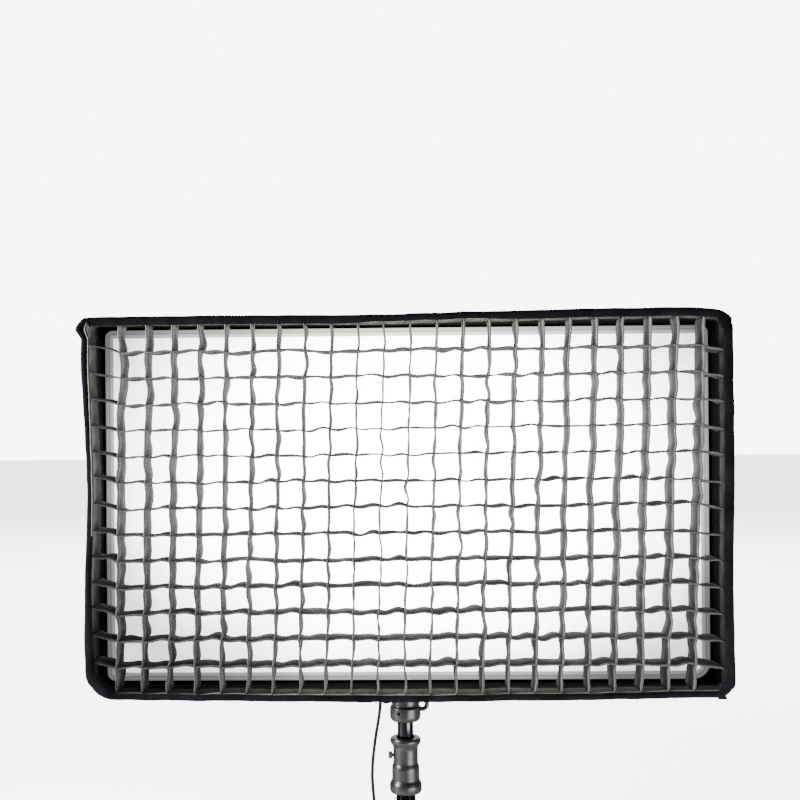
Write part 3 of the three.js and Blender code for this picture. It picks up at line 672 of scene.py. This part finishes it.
def rounded_loop(half_x, half_z, radii, step=6 * MM):
    """Points round a rectangle about the tilt axis, with a radius at each corner.

    Each point is (x, z, outward x, outward z). radii are top left, top right, bottom right, bottom left.
    Loops of the same size and step have the same number of points, whatever their radii.
    """
    corners = [(-1, 1, 180), (1, 1, 90), (1, -1, 0), (-1, -1, -90)]
    arcs = []
    for (sx, sz, start), radius in zip(corners, radii):
        arc = []
        for t in shares(ARC_STEPS):
            angle = math.radians(start - 90 * t)
            nx, nz = math.cos(angle), math.sin(angle)
            arc.append((sx * (half_x - radius) + radius * nx, sz * (half_z - radius) + radius * nz, nx, nz))
        arcs.append(arc)
    points = []
    for side, (arc, following) in enumerate(zip(arcs, arcs[1:] + arcs[:1])):
        a, b = arc[-1], following[0]
        count = int(2 * (half_x if side % 2 == 0 else half_z) / step)
        points += arc + [tuple(a[n] + (b[n] - a[n]) * k / count for n in range(4)) for k in range(1, count)]
    return points


CORNER_RADII = (11 * MM, 27 * MM, 30 * MM, 46 * MM)


def front_sag(x, z, nx, nz):
    """How far the soft front edge leaves its rectangle, along its outward direction, in metres."""
    shift = 1.2 * noise.noise(Vector((x * 9, z * 9, 1.7))) + 0.9 * noise.noise(Vector((x * 30, z * 30, 4.1)))
    if nz < -0.5:  # the bottom edge droops between the rods
        shift += 3 - 6 * (1 - smooth_bump(x, -0.03, 0.66))
    if nz > 0.5:  # the top edge is drawn up at its right end
        shift += 1.5 + 6 * ease(min(1.0, max(0.0, (x + 0.05) / 0.36))) - 4 * smooth_bump(x, HALF_X, 0.08)
        shift += 0.8 * math.sin(x / 0.011) * smooth_bump(x, 0.035, 0.13)
    if nx < -0.5:  # the left edge is drawn in at the middle
        shift += 3 * smooth_bump(z, 0.24, 0.1) - 6 * smooth_bump(z, 0.03, 0.16)
        shift += 1.5 * smooth_bump(z, -0.19, 0.06)
    if nx > 0.5:
        shift -= 2 * smooth_bump(z, -0.12, 0.2)
    shift += 9 * smooth_bump(math.dist((x, z), (-HALF_X, HALF_Z - 0.018)), 0, 0.017)
    return shift * MM


# ---------------------------------------------------------------- egg-crate grid

grid_random = random.Random(11)
EDGE = 1.2 * MM
CELL_X = (GRID_HIGH.x - GRID_LOW.x - 2 * EDGE) / COLUMNS
CELL_Z = (GRID_HIGH.z - GRID_LOW.z - 2 * EDGE) / ROWS
STEPS = 8  # along a strip, in each cell
DEPTH_STEPS = 4


def grid_crossings():
    """Where the strips cross, seen from the front. The grid leans a little inside its border."""
    places = []
    for i in range(COLUMNS + 1):
        column = []
        for j in range(ROWS + 1):
            across, up = 2 * i / COLUMNS - 1, 2 * j / ROWS - 1
            x = GRID_LOW.x + EDGE + i * CELL_X
            z = GRID_LOW.z + EDGE + j * CELL_Z
            if 0 < i < COLUMNS:
                x += (7.2 + 2.4 * across) * up * MM + grid_random.gauss(0, 0.8 * MM)
            if 0 < j < ROWS:
                z += 1.5 * across * MM + grid_random.gauss(0, 0.9 * MM)
            if i in (0, COLUMNS):
                z += 11 * MM if i == 0 else -8 * MM
                side = math.copysign(1, across)
                x += side * front_sag(side * HALF_X, z - TILT.z, side, 0)
            if j in (0, ROWS):
                side = math.copysign(1, up)
                z += side * front_sag(x, side * HALF_Z, 0, side)
            column.append(Vector((x, 0, z)))
        places.append(column)
    return places


def belly(t, hump, wave):
    """How far a slack strip leaves the straight line between two crossings, a share t along it."""
    return hump * math.sin(math.pi * t) + wave * math.sin(2 * math.pi * t)


def strip_net(crossings, aside, hump, wave):
    """One strip through a row of crossings. Its front and back edges hang in folds of their own."""
    rows = [[] for _ in range(DEPTH_STEPS + 1)]
    front, back = GRID_LOW.y, GRID_BACK
    for start, end in zip(crossings, crossings[1:]):
        humps = [grid_random.gauss(*hump)] * 2
        waves = [grid_random.gauss(*wave)] * 2
        humps[1] += grid_random.gauss(0, 1.1 * MM)
        waves[1] += grid_random.gauss(0, 0.8 * MM)
        fold = grid_random.gauss(0, 0.8 * MM)
        last = end is crossings[-1]
        for step in range(STEPS + 1 if last else STEPS):
            t = step / STEPS
            line = start.lerp(end, t)
            for depth in range(DEPTH_STEPS + 1):
                w = depth / DEPTH_STEPS
                off = (1 - w) * belly(t, humps[0], waves[0]) + w * belly(t, humps[1], waves[1])
                off += fold * math.sin(math.pi * t) * math.sin(math.pi * w)
                slack = 0.8 * MM * math.sin(math.pi * t) * (1 - 2 * w)
                rows[depth].append(line + aside * off + Vector((0, front + (back - front) * w + slack, 0)))
    return net(rows)


def strip_set(name, lines, aside, hump, wave, length, cloth):
    """All of the strips that run one way, as one sewn sheet of cloth."""
    vertices, faces = [], []
    for line in lines:
        points, quads = strip_net(line, aside, hump, wave)
        faces += [tuple(len(vertices) + corner for corner in quad) for quad in quads]
        vertices += points
    made = piece(name, vertices, faces, cloth, "grid", "grid_fabric")
    thicken(made, 2.5 * MM)
    return made


def egg_crate():
    """The two sets of strips, which cross and make the grid's cells."""
    places = grid_crossings()
    uprights = [places[i] for i in range(1, COLUMNS)]
    crosspieces = [[places[i][j] for i in range(COLUMNS + 1)] for j in range(1, ROWS)]
    size = GRID_HIGH - GRID_LOW
    made = strip_set("grid_upright_strips", uprights, Vector((1, 0, 0)), (0.7 * MM, 1.0 * MM),
                     (0.3 * MM, 0.6 * MM), size.z, UPRIGHT)
    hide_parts("grid_uprights")
    made = strip_set("grid_cross_strips", crosspieces, Vector((0, 0, 1)), (0.5 * MM, 0.8 * MM),
                     (-0.9 * MM, 0.5 * MM), size.x, CROSSPIECE)
    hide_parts("grid_crosspieces")


# ---------------------------------------------------------------- softbox front: lip, border, binding


def banded(name, profile, step, material, body, slot):
    """A soft band: a closed profile of (outward offset, y) points swept round the front's outline.

    The outline sags at the front edge, and it is a plain rectangle where the skins begin.
    """
    rows = []
    front_loop = rounded_loop(HALF_X, HALF_Z, CORNER_RADII, step)
    back_loop = rounded_loop(HALF_X, HALF_Z, (2.5 * MM,) * 4, step)
    for front, back in zip(front_loop, back_loop):
        x, z, nx, nz = front
        sag = front_sag(x, z, nx, nz)
        row = []
        for outward, y in profile(x, z, nx, nz):
            depth = ease(min(1.0, max(0.0, (y - FRONT_Y) / (LIP_HIGH.y - FRONT_Y))))
            at_front = Vector((x + nx * (outward + sag), y, TILT.z + z + nz * (outward + sag)))
            at_back = Vector((back[0] + back[2] * outward, y, TILT.z + back[1] + back[3] * outward))
            row.append(at_front.lerp(at_back, depth))
        rows.append(row)
    return piece(name, *net(rows, closed_rows=True, closed_columns=True), material, body, slot)


def softbox_lip():
    """The soft tube of cloth round the front. Its profile runs forward inside, and back outside."""
    back, wall = LIP_HIGH.y, LIP_WALL
    profile_points, inside_faces = 11, 3

    def profile(x, z, nx, nz):
        flutter = noise.noise(Vector((x * 14, z * 14, 9.2))) * 1.2 * MM
        return [
            (-wall + 0.5 * MM, back), (-wall + flutter, back - 0.04), (-wall, FRONT_Y + 8 * MM),
            (-wall + 0.8 * MM, FRONT_Y + 2.5 * MM), (-wall + 3 * MM, FRONT_Y + 0.6 * MM),
            (-3 * MM, FRONT_Y + 0.6 * MM), (-0.8 * MM, FRONT_Y + 2.5 * MM), (-0.3 * MM, FRONT_Y + 8 * MM),
            (flutter - 0.8 * MM, FRONT_Y + 0.03), (flutter - 1.2 * MM, FRONT_Y + 0.06), (-1.2 * MM, back),
        ]

    made = banded("softbox_lip", profile, 6 * MM, LIP, "lamp", "skin_fabric")
    made.data.materials.append(FOAM)
    for face in made.data.polygons:
        if face.index % profile_points < inside_faces:  # the inside of the lip is a dull flock
            face.material_index = 1
    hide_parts("lip_top", "lip_bottom", "lip_left", "lip_right")


def diffuser_flange():
    """The dull band that the front diffuser is pressed on to. It covers the cloth's edge all round."""
    edge_inset, rim_inset = 5 * MM, 11 * MM
    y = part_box("front_diffuser")[0].y - 2.5 * MM
    radii = [DIFFUSER_CORNER + rim_inset] * 4
    radii[2] = LOOSE_CORNER + rim_inset
    edge_loop = rounded_loop(HALF_X, HALF_Z, (6 * MM,) * 4)
    rim_loop = rounded_loop(HALF_X, HALF_Z, radii)
    rows = []
    for pair in zip(edge_loop, rim_loop):
        rows.append([Vector((x - nx * inset, y, TILT.z + z - nz * inset))
                     for (x, z, nx, nz), inset in zip(pair, (edge_inset, rim_inset))])
    made = piece("diffuser_flange", *net(rows, closed_rows=True), FOAM, "lamp", "skin_fabric")
    thicken(made, 1 * MM)


def binding_width(x, z, nx, nz):
    """The tape over the front edge is wide at the right and top, narrow at the left and bottom."""
    left = 10 + 7 * smooth_bump(z, -HALF_Z, 0.2)
    top = 13 - 6 * smooth_bump(x, 0.035, 0.15)
    return (max(nx, 0) * 15 + max(-nx, 0) * left + max(nz, 0) * top + max(-nz, 0) * 8) * MM


def grid_binding():
    """The grid's tape, folded over the front edge of the lip."""

    def profile(x, z, nx, nz):
        loose = smooth_bump(x, 0.035, 0.12) if nz > 0.5 else 1.6 * smooth_bump(x, -0.045, 0.05) * (nz < -0.5)
        ripple = loose * (2.2 * math.sin(x / 0.0062) + 1.2 * math.sin(x / 0.0031 + 1)) * MM
        wide = binding_width(x, z, nx, nz) + ripple * 0.6
        front = FRONT_Y - 3.2 * MM - abs(ripple) * 0.4
        outer = -1.5 * MM + ripple * 0.5
        return [
            (outer - wide, FRONT_Y - 1 * MM), (outer - wide + 0.4 * MM, front + 0.8 * MM),
            (outer - wide + 2 * MM, front), (outer - wide * 0.5, front - 0.7 * MM), (outer - 2 * MM, front),
            (outer - 0.3 * MM, front + 1.2 * MM), (outer, FRONT_Y - 0.2 * MM),
            (outer - 1.5 * MM, FRONT_Y - 0.2 * MM), (outer - wide * 0.5, FRONT_Y - 0.6 * MM),
        ]

    banded("grid_binding", profile, 4 * MM, LIP, "grid", "grid_fabric")


def grid_hem():
    """The turned-out front edge of the grid's band, under the binding."""
    inner = GRID_HIGH.x - HALF_X - 1 * MM
    outer = -5 * MM

    def profile(x, z, nx, nz):
        return [(inner, FRONT_Y - 0.4 * MM), (inner, FRONT_Y - 1.2 * MM),
                (outer, FRONT_Y - 1.2 * MM), (outer, FRONT_Y - 0.4 * MM)]

    banded("grid_hem", profile, 4 * MM, LIP, "grid", "grid_fabric")


def grid_border():
    """The band that the strips are sewn to. It lines the inside of the lip."""
    rows = []
    for x, z, nx, nz in rounded_loop(GRID_HIGH.x, GRID_HIGH.z - TILT.z, (4 * MM, 8 * MM, 8 * MM, 30 * MM)):
        row = []
        for w in shares(5):
            wavy = noise.noise(Vector((x * 20, z * 20, w * 2))) * 1.3 * MM - 0.2 * MM
            wavy += front_sag(x, z, nx, nz) * (1 - 0.4 * w) - 4 * MM * w * max(0, -nx)
            y = GRID_LOW.y + (GRID_BACK - GRID_LOW.y) * w
            row.append(Vector((x + nx * wavy, y, TILT.z + z + nz * wavy)))
        rows.append(row)
    made = piece("grid_border", *net(rows, closed_rows=True), BORDER, "grid", "grid_fabric")
    thicken(made, 1.2 * MM)


# ---------------------------------------------------------------- skins


def skin_dip(u, t, seed):
    """How far a skin is drawn in, in mm, at u across it (-1 to 1) and t from its front to its back."""
    from_seam = min(1.0, (1 - abs(u)) * 16)
    dip = 9 * math.sin(math.pi * t) * (1 - u * u) ** 1.2
    dip += 1.8 * noise.noise(Vector((u * 5, t * 4, seed))) * math.sin(math.pi * t) * from_seam
    pucker = math.exp(-(1 - abs(u)) * 14) * math.sin(t * 44 + 3 * u) * math.sin(math.pi * t)
    return dip + 2.2 * pucker * from_seam


def skin_ends():
    """The corner of the skins at the lip and at the ring, as (x, y, z above the tilt axis)."""
    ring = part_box("ring_bracket_right")[1]
    front = Vector((HALF_X - 1.5 * MM, LIP_HIGH.y - 1 * MM, HALF_Z - 1.5 * MM))
    back = Vector((ring.x + 3 * MM, SKIN_BACK_Y, ring.z - TILT.z + 3 * MM))
    return front, back


def skin_panels():
    """Four panels, stretched over the corner rods and drawn in between them."""
    front, back = skin_ends()
    for name, side, run in (("top", 1, "x"), ("bottom", -1, "x"), ("left", -1, "z"), ("right", 1, "z")):

        def place(across, t):
            u = 2 * across - 1
            size = front.lerp(back, t)
            dip = skin_dip(u, t, side * 3 + len(name)) * MM
            if run == "x":
                return Vector((u * size.x, size.y, TILT.z + side * (size.z - dip)))
            return Vector((side * (size.x - dip), size.y, TILT.z + u * size.z))

        vertices, faces = sheet_net(80, 30, place)
        if (run == "x") != (side > 0):
            faces = [face[::-1] for face in faces]
        made = piece(f"skin_{name}_cloth", vertices, faces, SKIN, "lamp", "skin_fabric")
        made.data.materials.append(SILVER)
        lining = thicken(made, 1.2 * MM, -1.0)
        lining.material_offset = 1
        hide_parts(f"skin_{name}")


def elastic_cuff():
    """The elastic cuff at the small end. It grips the ring all round, and is cut short at the two latches."""
    back = skin_ends()[1]
    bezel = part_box("front_bezel")[1]
    reach_x, reach_z = back.x - bezel.x - 4 * MM, back.z - bezel.z + TILT.z - 4 * MM
    rows = []
    for x, z, nx, nz in rounded_loop(back.x, back.z, (9 * MM,) * 4, 5 * MM):
        at_latch = abs(nz) > 0.5 and abs(x) < 36 * MM
        inner = 4.5 if at_latch else (abs(nx) * reach_x + abs(nz) * reach_z) / MM
        row = []
        for outward, y in ((0.6, -3), (1.6, 0), (1.2, 3), (-0.6, 5.2), (-4, 6.2), (-inner, 6.2)):
            gather = 0.7 * math.sin((x * abs(nz) + z * abs(nx)) / 0.0042 + outward) if outward > -4 else 0.0
            row.append(Vector((x + nx * (outward + gather) * MM, back.y + y * MM,
                               TILT.z + z + nz * (outward + gather) * MM)))
        rows.append(row)
    made = piece("elastic_cuff", *net(rows, closed_rows=True), LIP, "lamp", "skin_fabric")
    thicken(made, 1.2 * MM)


# ---------------------------------------------------------------- diffusers


def rounded_corner(x, z, half_x, half_z, radius):
    """Moves a point of a rectangle's net so that the rectangle's corners become arcs."""
    over = Vector((max(0.0, abs(x) - half_x + radius), max(0.0, abs(z) - half_z + radius)))
    if min(over) > 0:
        over *= max(over) / over.length
        x = math.copysign(half_x - radius + over.x, x)
        z = math.copysign(half_z - radius + over.y, z)
    return x, z


def front_diffuser():
    """The cloth behind the grid, with its painted glow. It bows forwards, and is pleated near its lower left
    corner.
    """
    low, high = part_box("front_diffuser")
    size = high - low

    def place(across, up):
        x, z = low.x + size.x * across, low.z + size.z * up
        radius = LOOSE_CORNER if x > 0 and z < TILT.z else DIFFUSER_CORNER
        x, z = rounded_corner(x, z - TILT.z, high.x, high.z - TILT.z, radius)
        z += TILT.z
        middling = 16 * across * (1 - across) * up * (1 - up)
        bow = -5 * MM * middling + 1.2 * MM * noise.noise(Vector((x * 7, z * 7, 0)))
        near = math.dist((x, z), (low.x, low.z))
        pleat = 4.5 * MM * smooth_bump(near, 0.05, 0.09) * math.sin(math.atan2(z - low.z, x - low.x) * 16)
        return Vector((x, (low.y + high.y) / 2 + bow + pleat, z))

    made = piece("front_diffuser_cloth", *sheet_net(120, 72, place), GLOW, "lamp", "diffuser_cloth")
    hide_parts("front_diffuser")


egg_crate()
grid_border()
grid_binding()
grid_hem()
softbox_lip()
diffuser_flange()
skin_panels()
elastic_cuff()
front_diffuser()

# ---------------------------------------------------------------- spigot, castings and riser


def turned_casting():
    """The stand's top casting: a flared mouth, a waist and a heavy flared foot."""
    low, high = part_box("stand_casting")
    foot, top, wide = low.z, high.z, high.x
    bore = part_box("spigot")[1].x
    outer = [(25, 0), (28.2, 2.5), (29.3, 8), (29.3, 15), (27.6, 20), (25.3, 23.5), (25, 27), (25, 46),
             (24.2, 50), (22.6, 54), (22.4, 60), (22.4, 80), (23, 84), (25, 88), (27.6, 91.5), (27.9, 96),
             (26.6, 100), (24.5, 101)]
    profile = [(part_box("riser")[1].x + 0.2 * MM, foot + 16 * MM), (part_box("riser")[1].x + 0.2 * MM, foot)]
    profile += [(r * MM * wide / (29.3 * MM), foot + h * MM * (top - foot) / (101 * MM)) for r, h in outer]
    profile += [(bore + 4 * MM, top), (bore + 1 * MM, top - 3 * MM), (bore + 0.6 * MM, top - 20 * MM)]
    made = lathe("casting_body", rounded_profile(profile, 2.2 * MM), CAST, "stand", "casting")
    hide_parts("stand_casting")


def turned_base():
    """The casting under the yoke: a neck and a collar with a rounded foot and the hole of a set screw."""
    low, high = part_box("yoke_base")
    foot, top, collar = low.z, high.z, 28 * MM
    neck, shoulder = 24.5 * MM, TILT.z - 380 * MM
    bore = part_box("spigot")[1].x
    profile = [(bore + 0.4 * MM, foot + 12 * MM), (bore + 0.6 * MM, foot + 1.5 * MM), (bore + 2 * MM, foot),
               (collar - 8 * MM, foot), (collar - 2.5 * MM, foot + 2 * MM), (collar, foot + 8 * MM),
               (collar, shoulder - 2 * MM), (collar - 2 * MM, shoulder),
               (neck + 0.4 * MM, shoulder + 0.6 * MM), (neck, shoulder + 3 * MM), (neck, top - 2 * MM),
               (neck - 2 * MM, top), (8 * MM, top)]
    made = lathe("base_body", rounded_profile(profile, 2 * MM), CAST, "yoke", "casting")
    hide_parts("yoke_base")
    base_screw_hole(collar)


def base_screw_hole(collar):
    """The set screw's hole in the collar, a little to the left of the front: a near-black dish just outside the
    collar, painted shade in place of a hole cut into it.
    """
    aside = -12.4 * MM
    angle = math.atan2(aside, math.sqrt(collar ** 2 - aside ** 2))
    shade_disc = [(0, 0), (2.7 * MM, 0), (3 * MM, 0.4 * MM), (3 * MM, 3 * MM)]
    screw = lathe("base_screw_hole", shade_disc, HOLE_SHADE, "yoke", "black_plastic", axis="Y", turns=24)
    screw.data.transform(Matrix.Rotation(angle, 4, "Z") @ Matrix.Translation((0, -collar - 0.25 * MM, 0)))
    screw.data.transform(Matrix.Translation((0, 0, TILT.z - 390 * MM)))


def eye_ring():
    """The eye that a safety cable clips to: a round-edged ring, drawn without the short stem that it is cast on.
    """
    low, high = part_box("safety_eye")
    ring = (high.z - low.z) / 2
    centre = Vector((high.x - ring, (low.y + high.y) / 2, (low.z + high.z) / 2))
    bore, half = 4.8 * MM, (high.y - low.y) / 2
    profile = [(bore, 0), (bore + 0.4 * MM, half - 2.5 * MM), (bore + 3 * MM, half), (ring - 3 * MM, half),
               (ring, half - 3.2 * MM), (ring, -half + 3.2 * MM), (ring - 3 * MM, -half),
               (bore + 3 * MM, -half), (bore + 0.4 * MM, -half + 2.5 * MM), (bore, 0)]
    made = lathe("eye_ring", rounded_profile(profile, 1.8 * MM), CAST, "yoke", "casting", at=centre, axis="Y")
    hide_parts("safety_eye")


def turned_steel():
    """The spigot, with its safety groove, and the riser's tube below the castings."""
    low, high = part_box("spigot")
    r = high.x
    groove = TILT.z - 470 * MM
    profile = [(0, low.z), (r - 2 * MM, low.z), (r, low.z + 2 * MM), (r, groove - 6 * MM),
               (r - 2.5 * MM, groove - 4 * MM), (r - 2.5 * MM, groove + 4 * MM), (r, groove + 6 * MM),
               (r, high.z - 1 * MM), (r - 1 * MM, high.z), (0, high.z)]
    made = lathe("spigot_body", rounded_profile(profile, 0.8 * MM), STEEL, "yoke", "bright_steel")
    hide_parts("spigot")
    low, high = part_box("riser")
    r, bore = high.x, high.x - 2 * MM
    profile = [(bore, low.z), (r - 0.5 * MM, low.z), (r, low.z + 0.5 * MM), (r, high.z - 0.5 * MM),
               (r - 0.5 * MM, high.z), (bore, high.z)]
    made = lathe("riser_tube", profile, STEEL, "stand", "bright_steel")
    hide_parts("riser")


turned_casting()
turned_base()
eye_ring()
turned_steel()

# ---------------------------------------------------------------- CAD pieces that stay: finish and bevels

KEPT = {
    "rod_top_left rod_top_right rod_bottom_left rod_bottom_right": (ROD, 0.5),
    "ring_bracket_left ring_bracket_right ring_bar_top ring_bar_bottom": (ANODISED, 0.8),
    "latch_top latch_bottom": (ALUMINIUM, 0.6),
    "lamp_housing front_bezel back_cover yoke": (PAINT, 1.0),
    "opal_panel": (OPAL, 0.3),
    "led_board": (BOARD, 0.2),
    "heat_sink power_supply": (ALUMINIUM, 0.4),
    "tilt_boss_left tilt_boss_right": (ALUMINIUM, 0.6),
    "fan_frame fan_rotor rocker_switch cord_gland riser_plug casting_knob": (PLASTIC, 0.4),
    "control_panel mains_plug": (PLASTIC, 1.0),
    "dimmer_dial colour_dial tilt_washer_left tilt_washer_right": (PLASTIC, 0.6),
    "tilt_knob_left tilt_knob_right": (PLASTIC, 1.2),
    "display": (GLASS, 0.4),
    "base_bolt": (STEEL, 0.4),
    "cord_tie": (WEBBING, 0.4),
}

for names, (material, bevel) in KEPT.items():
    for name in names.split():
        node = frame["nodes"][name]
        node.data.materials.clear()
        node.data.materials.append(material)
        bevelled(node, bevel * MM)

# ---------------------------------------------------------------- small fittings


def back_screws():
    """Socket cap screws round the back cover, with their heads standing out of it."""
    low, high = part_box("back_cover")
    r = 3.2 * MM
    profile = [(r, -1 * MM), (r, 1.6 * MM), (r - 0.5 * MM, 2.1 * MM), (1.7 * MM, 2.1 * MM),
               (1.5 * MM, 1.9 * MM), (1.5 * MM, 0.6 * MM), (0, 0.6 * MM)]
    inset = 9 * MM
    places = [(x, z) for x in (low.x + inset, low.x / 3, high.x / 3, high.x - inset)
              for z in (low.z + inset, high.z - inset)]
    for count, (x, z) in enumerate(places):
        lathe(f"back_screw_{count}", profile, STEEL, "lamp", "bright_steel", at=(x, high.y, z), axis="Y",
              turns=32)


def dial_marks():
    """A ring of ticks round each dial, and a pointer line on its face."""
    panel_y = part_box("control_panel")[1].y
    for dial in ("dimmer_dial", "colour_dial"):
        low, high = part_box(dial)
        centre, r = (low + high) / 2, (high.x - low.x) / 2
        for k in range(11):
            angle = math.radians(-135 + 27 * k)
            tick = box_piece(f"{dial}_tick_{k}", (-0.4 * MM, 0, r + 1.6 * MM),
                             (0.4 * MM, 0.25 * MM, r + 4 * MM), MARK, "lamp", "display_glass")
            tick.data.transform(Matrix.Rotation(angle, 4, "Y"))
            tick.data.transform(Matrix.Translation((centre.x, panel_y, centre.z)))
        box_piece(f"{dial}_pointer", (centre.x - 0.6 * MM, high.y - 0.1 * MM, centre.z + 3 * MM),
                  (centre.x + 0.6 * MM, high.y + 0.3 * MM, high.z - 1.5 * MM), MARK, dial_body(dial),
                  "black_plastic")


def dial_body(dial):
    """The body that a dial's node turns with."""
    return next(name for name, nodes in frame["record"]["behaviour"]["bodies"].items() if dial in nodes)


def display_bars():
    """Two rows of lit bars, for the brightness and the colour."""
    low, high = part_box("display")
    bars, margin = 12, 8 * MM
    for row, lit in enumerate((9, 6)):
        for k in range(bars):
            x = low.x + margin + (high.x - low.x - 2 * margin) * k / (bars - 1)
            z = low.z + (13 + 15 * row) * MM
            material, tall = (SEGMENT, 5 * MM) if k >= bars - lit else (MARK, 1.2 * MM)
            box_piece(f"display_bar_{row}_{k}", (x - 1.5 * MM, high.y, z),
                      (x + 1.5 * MM, high.y + 0.2 * MM, z + tall), material, "lamp", "display_glass")


def tube_along(name, path, radius, material, body, slot):
    """A round cord of cloth along a path."""
    sides = 10
    rows = []
    for before, here, after in zip([path[0]] + path[:-1], path, path[1:] + [path[-1]]):
        along = (after - before).normalized()
        aside = along.cross(Vector((0, 0, 1))).normalized() if abs(along.z) < 0.9 else Vector((1, 0, 0))
        up = aside.cross(along).normalized()
        rows.append([here + (aside * math.cos(a) + up * math.sin(a)) * radius
                     for a in (2 * math.pi * turn / sides for turn in range(sides))])
    return piece(name, *net(rows, closed_columns=True), material, body, slot)


def seam_piping():
    """The bound seams where two skins meet over each rod."""
    front, back = skin_ends()
    for side, sx in (("right", 1), ("left", -1)):
        for level, sz in (("top", 1), ("bottom", -1)):
            path = []
            for t in shares(40):
                centre = front.lerp(back, t)
                path.append(Vector((sx * centre.x, centre.y, TILT.z + sz * centre.z)))
            tube_along(f"seam_{level}_{side}", path, 2.4 * MM, LIP, "lamp", "skin_fabric")


def corner_tab():
    """A short webbing tab, sewn under the lower right corner."""
    left, top = HALF_X - 30.5 * MM, TILT.z - HALF_Z + 13 * MM

    def place(u, t):
        y = FRONT_Y + 5 * MM - 5 * MM * t + 1.5 * MM * math.sin(t * 3)
        return Vector((left + 3 * MM * t + 13 * MM * u, y + 0.6 * MM * math.sin(4 * u), top - 12 * MM * t))

    tab = piece("corner_tab", *sheet_net(4, 8, place), WEBBING, "lamp", "tie_webbing")
    thicken(tab, 1.4 * MM)


def edge_piping():
    """The piping down the left side of the front, on the grid's tape. It ends below the middle."""
    low, high = TILT.z - 40 * MM, TILT.z + HALF_Z - 8 * MM
    path = []
    for t in shares(80):
        z = low + (high - low) * t
        x = -HALF_X + 12.5 * MM - front_sag(-HALF_X, z - TILT.z, -1, 0) * 0.6
        path.append(Vector((x, FRONT_Y - 3.2 * MM, z)))
    # its lighter finish is partly painted highlight
    tube_along("edge_piping", path, 1.7 * MM, PIPING, "grid", "grid_fabric")


def inner_baffle():
    """The second diffuser, half way down the cone. It bows by 6 mm at its middle."""
    low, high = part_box("inner_baffle")
    middle, size = (low.y + high.y) / 2, high - low

    def place(u, v):
        bow = 6 * MM * math.sin(math.pi * u) * math.sin(math.pi * v) - 3 * MM
        return Vector((low.x + size.x * u, middle + bow, low.z + size.z * v))

    # the same painted glow as the front diffuser
    made = piece("inner_baffle_cloth", *sheet_net(40, 24, place), GLOW, "lamp", "diffuser_cloth")
    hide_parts("inner_baffle")


def foam_band(name, half_x, half_z, radius, width, y0, y1):
    """A band of foam round a rectangle, which reaches inwards by its width."""
    rows = []
    for x, z, nx, nz in rounded_loop(half_x, half_z, (radius,) * 4, 8 * MM):
        rows.append([Vector((x - nx * inset, y, TILT.z + z - nz * inset))
                     for inset, y in ((0, y0), (width, y0), (width, y1), (0, y1))])
    piece(name, *net(rows, closed_rows=True, closed_columns=True), FOAM, "lamp", "skin_fabric")


def light_seals():
    """The foam between the ring and the lamp's bezel, and the seal between the bezel and the housing."""
    low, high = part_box("front_bezel")
    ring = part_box("ring_bracket_right")[1].y
    half_x, half_z = high.x, high.z - TILT.z
    foam_band("ring_seal", half_x - 4 * MM, half_z - 4 * MM, 6 * MM, 10 * MM, ring, low.y)
    foam_band("bezel_seal", half_x - 0.6 * MM, half_z - 0.6 * MM, 1 * MM, 1.5 * MM,
              high.y - 0.7 * MM, high.y + 1 * MM)


light_seals()
back_screws()
dial_marks()
display_bars()
seam_piping()
corner_tab()
edge_piping()
inner_baffle()

# ---------------------------------------------------------------- floor and light


def studio_world():
    """A white cyclorama behind the softbox, and a dimmer room round the rest."""
    world = bpy.data.worlds.new("studio")
    bpy.context.scene.world = world
    world.use_nodes = True
    tree = world.node_tree
    background = tree.nodes["Background"]
    background.inputs["Color"].default_value = (1, 1, 1, 1)
    coords = tree.nodes.new("ShaderNodeTexCoord")
    parts = tree.nodes.new("ShaderNodeSeparateXYZ")
    tree.links.new(coords.outputs["Generated"], parts.inputs["Vector"])
    spread = tree.nodes.new("ShaderNodeMapRange")
    spread.interpolation_type = "SMOOTHSTEP"
    tree.links.new(parts.outputs["Y"], spread.inputs["Value"])
    for socket, value in (("From Min", 0.74), ("From Max", 0.87), ("To Min", 0.65), ("To Max", 8.0)):
        spread.inputs[socket].default_value = value
    tree.links.new(spread.outputs["Result"], background.inputs["Strength"])


def area_light(name, place, aim_at, radiance, width, height):
    data = bpy.data.lights.new(name, "AREA")
    data.shape, data.size, data.size_y = "RECTANGLE", width, height
    data.energy = radiance * math.pi * width * height
    light = linked(name, data)
    light.visible_camera = False
    light.location = place
    aim = Vector(aim_at) - Vector(place)
    light.rotation_euler = aim.to_track_quat("-Z", "Y").to_euler()


def stage_and_light():
    size = 60
    mesh = bpy.data.meshes.new("floor")
    corners = [(-size, -size, 0), (size, -size, 0), (size, size, 0), (-size, size, 0)]
    mesh.from_pydata(corners, [], [(0, 1, 2, 3)])
    floor = linked("floor", mesh)
    floor.location.z = -1 * MM
    pale = Finish("pale_floor", (0.9, 0.9, 0.9), 0.3)
    pale.roughen(pale.noise(3, 3), 0.28, 0.36)
    mesh.materials.append(pale.material)
    studio_world()
    low, middle = (0, 0, TILT.z - 0.38), (0, 0, TILT.z)
    area_light("floor_wash", (0, 5, 4.2), (0, 5.001, 0), 13, 8, 7)
    area_light("top_soft", (0, -0.6, 3.4), middle, 4, 2.4, 1.6)
    area_light("low_right", (0.88, -0.9, 0.13), low, 110, 0.95, 0.12)
    area_light("low_left", (-1.15, -0.42, 0.2), low, 16, 0.3, 0.3)
    area_light("high_left", (-1.6, -0.6, 1.05), low, 2000, 0.2, 0.2)
    area_light("window_right", (2.4, -2.2, 1.2), middle, 8, 0.8, 1.4)
    area_light("window_left", (-2.6, -1.4, 1.2), middle, 8, 0.8, 1.4)


stage_and_light()
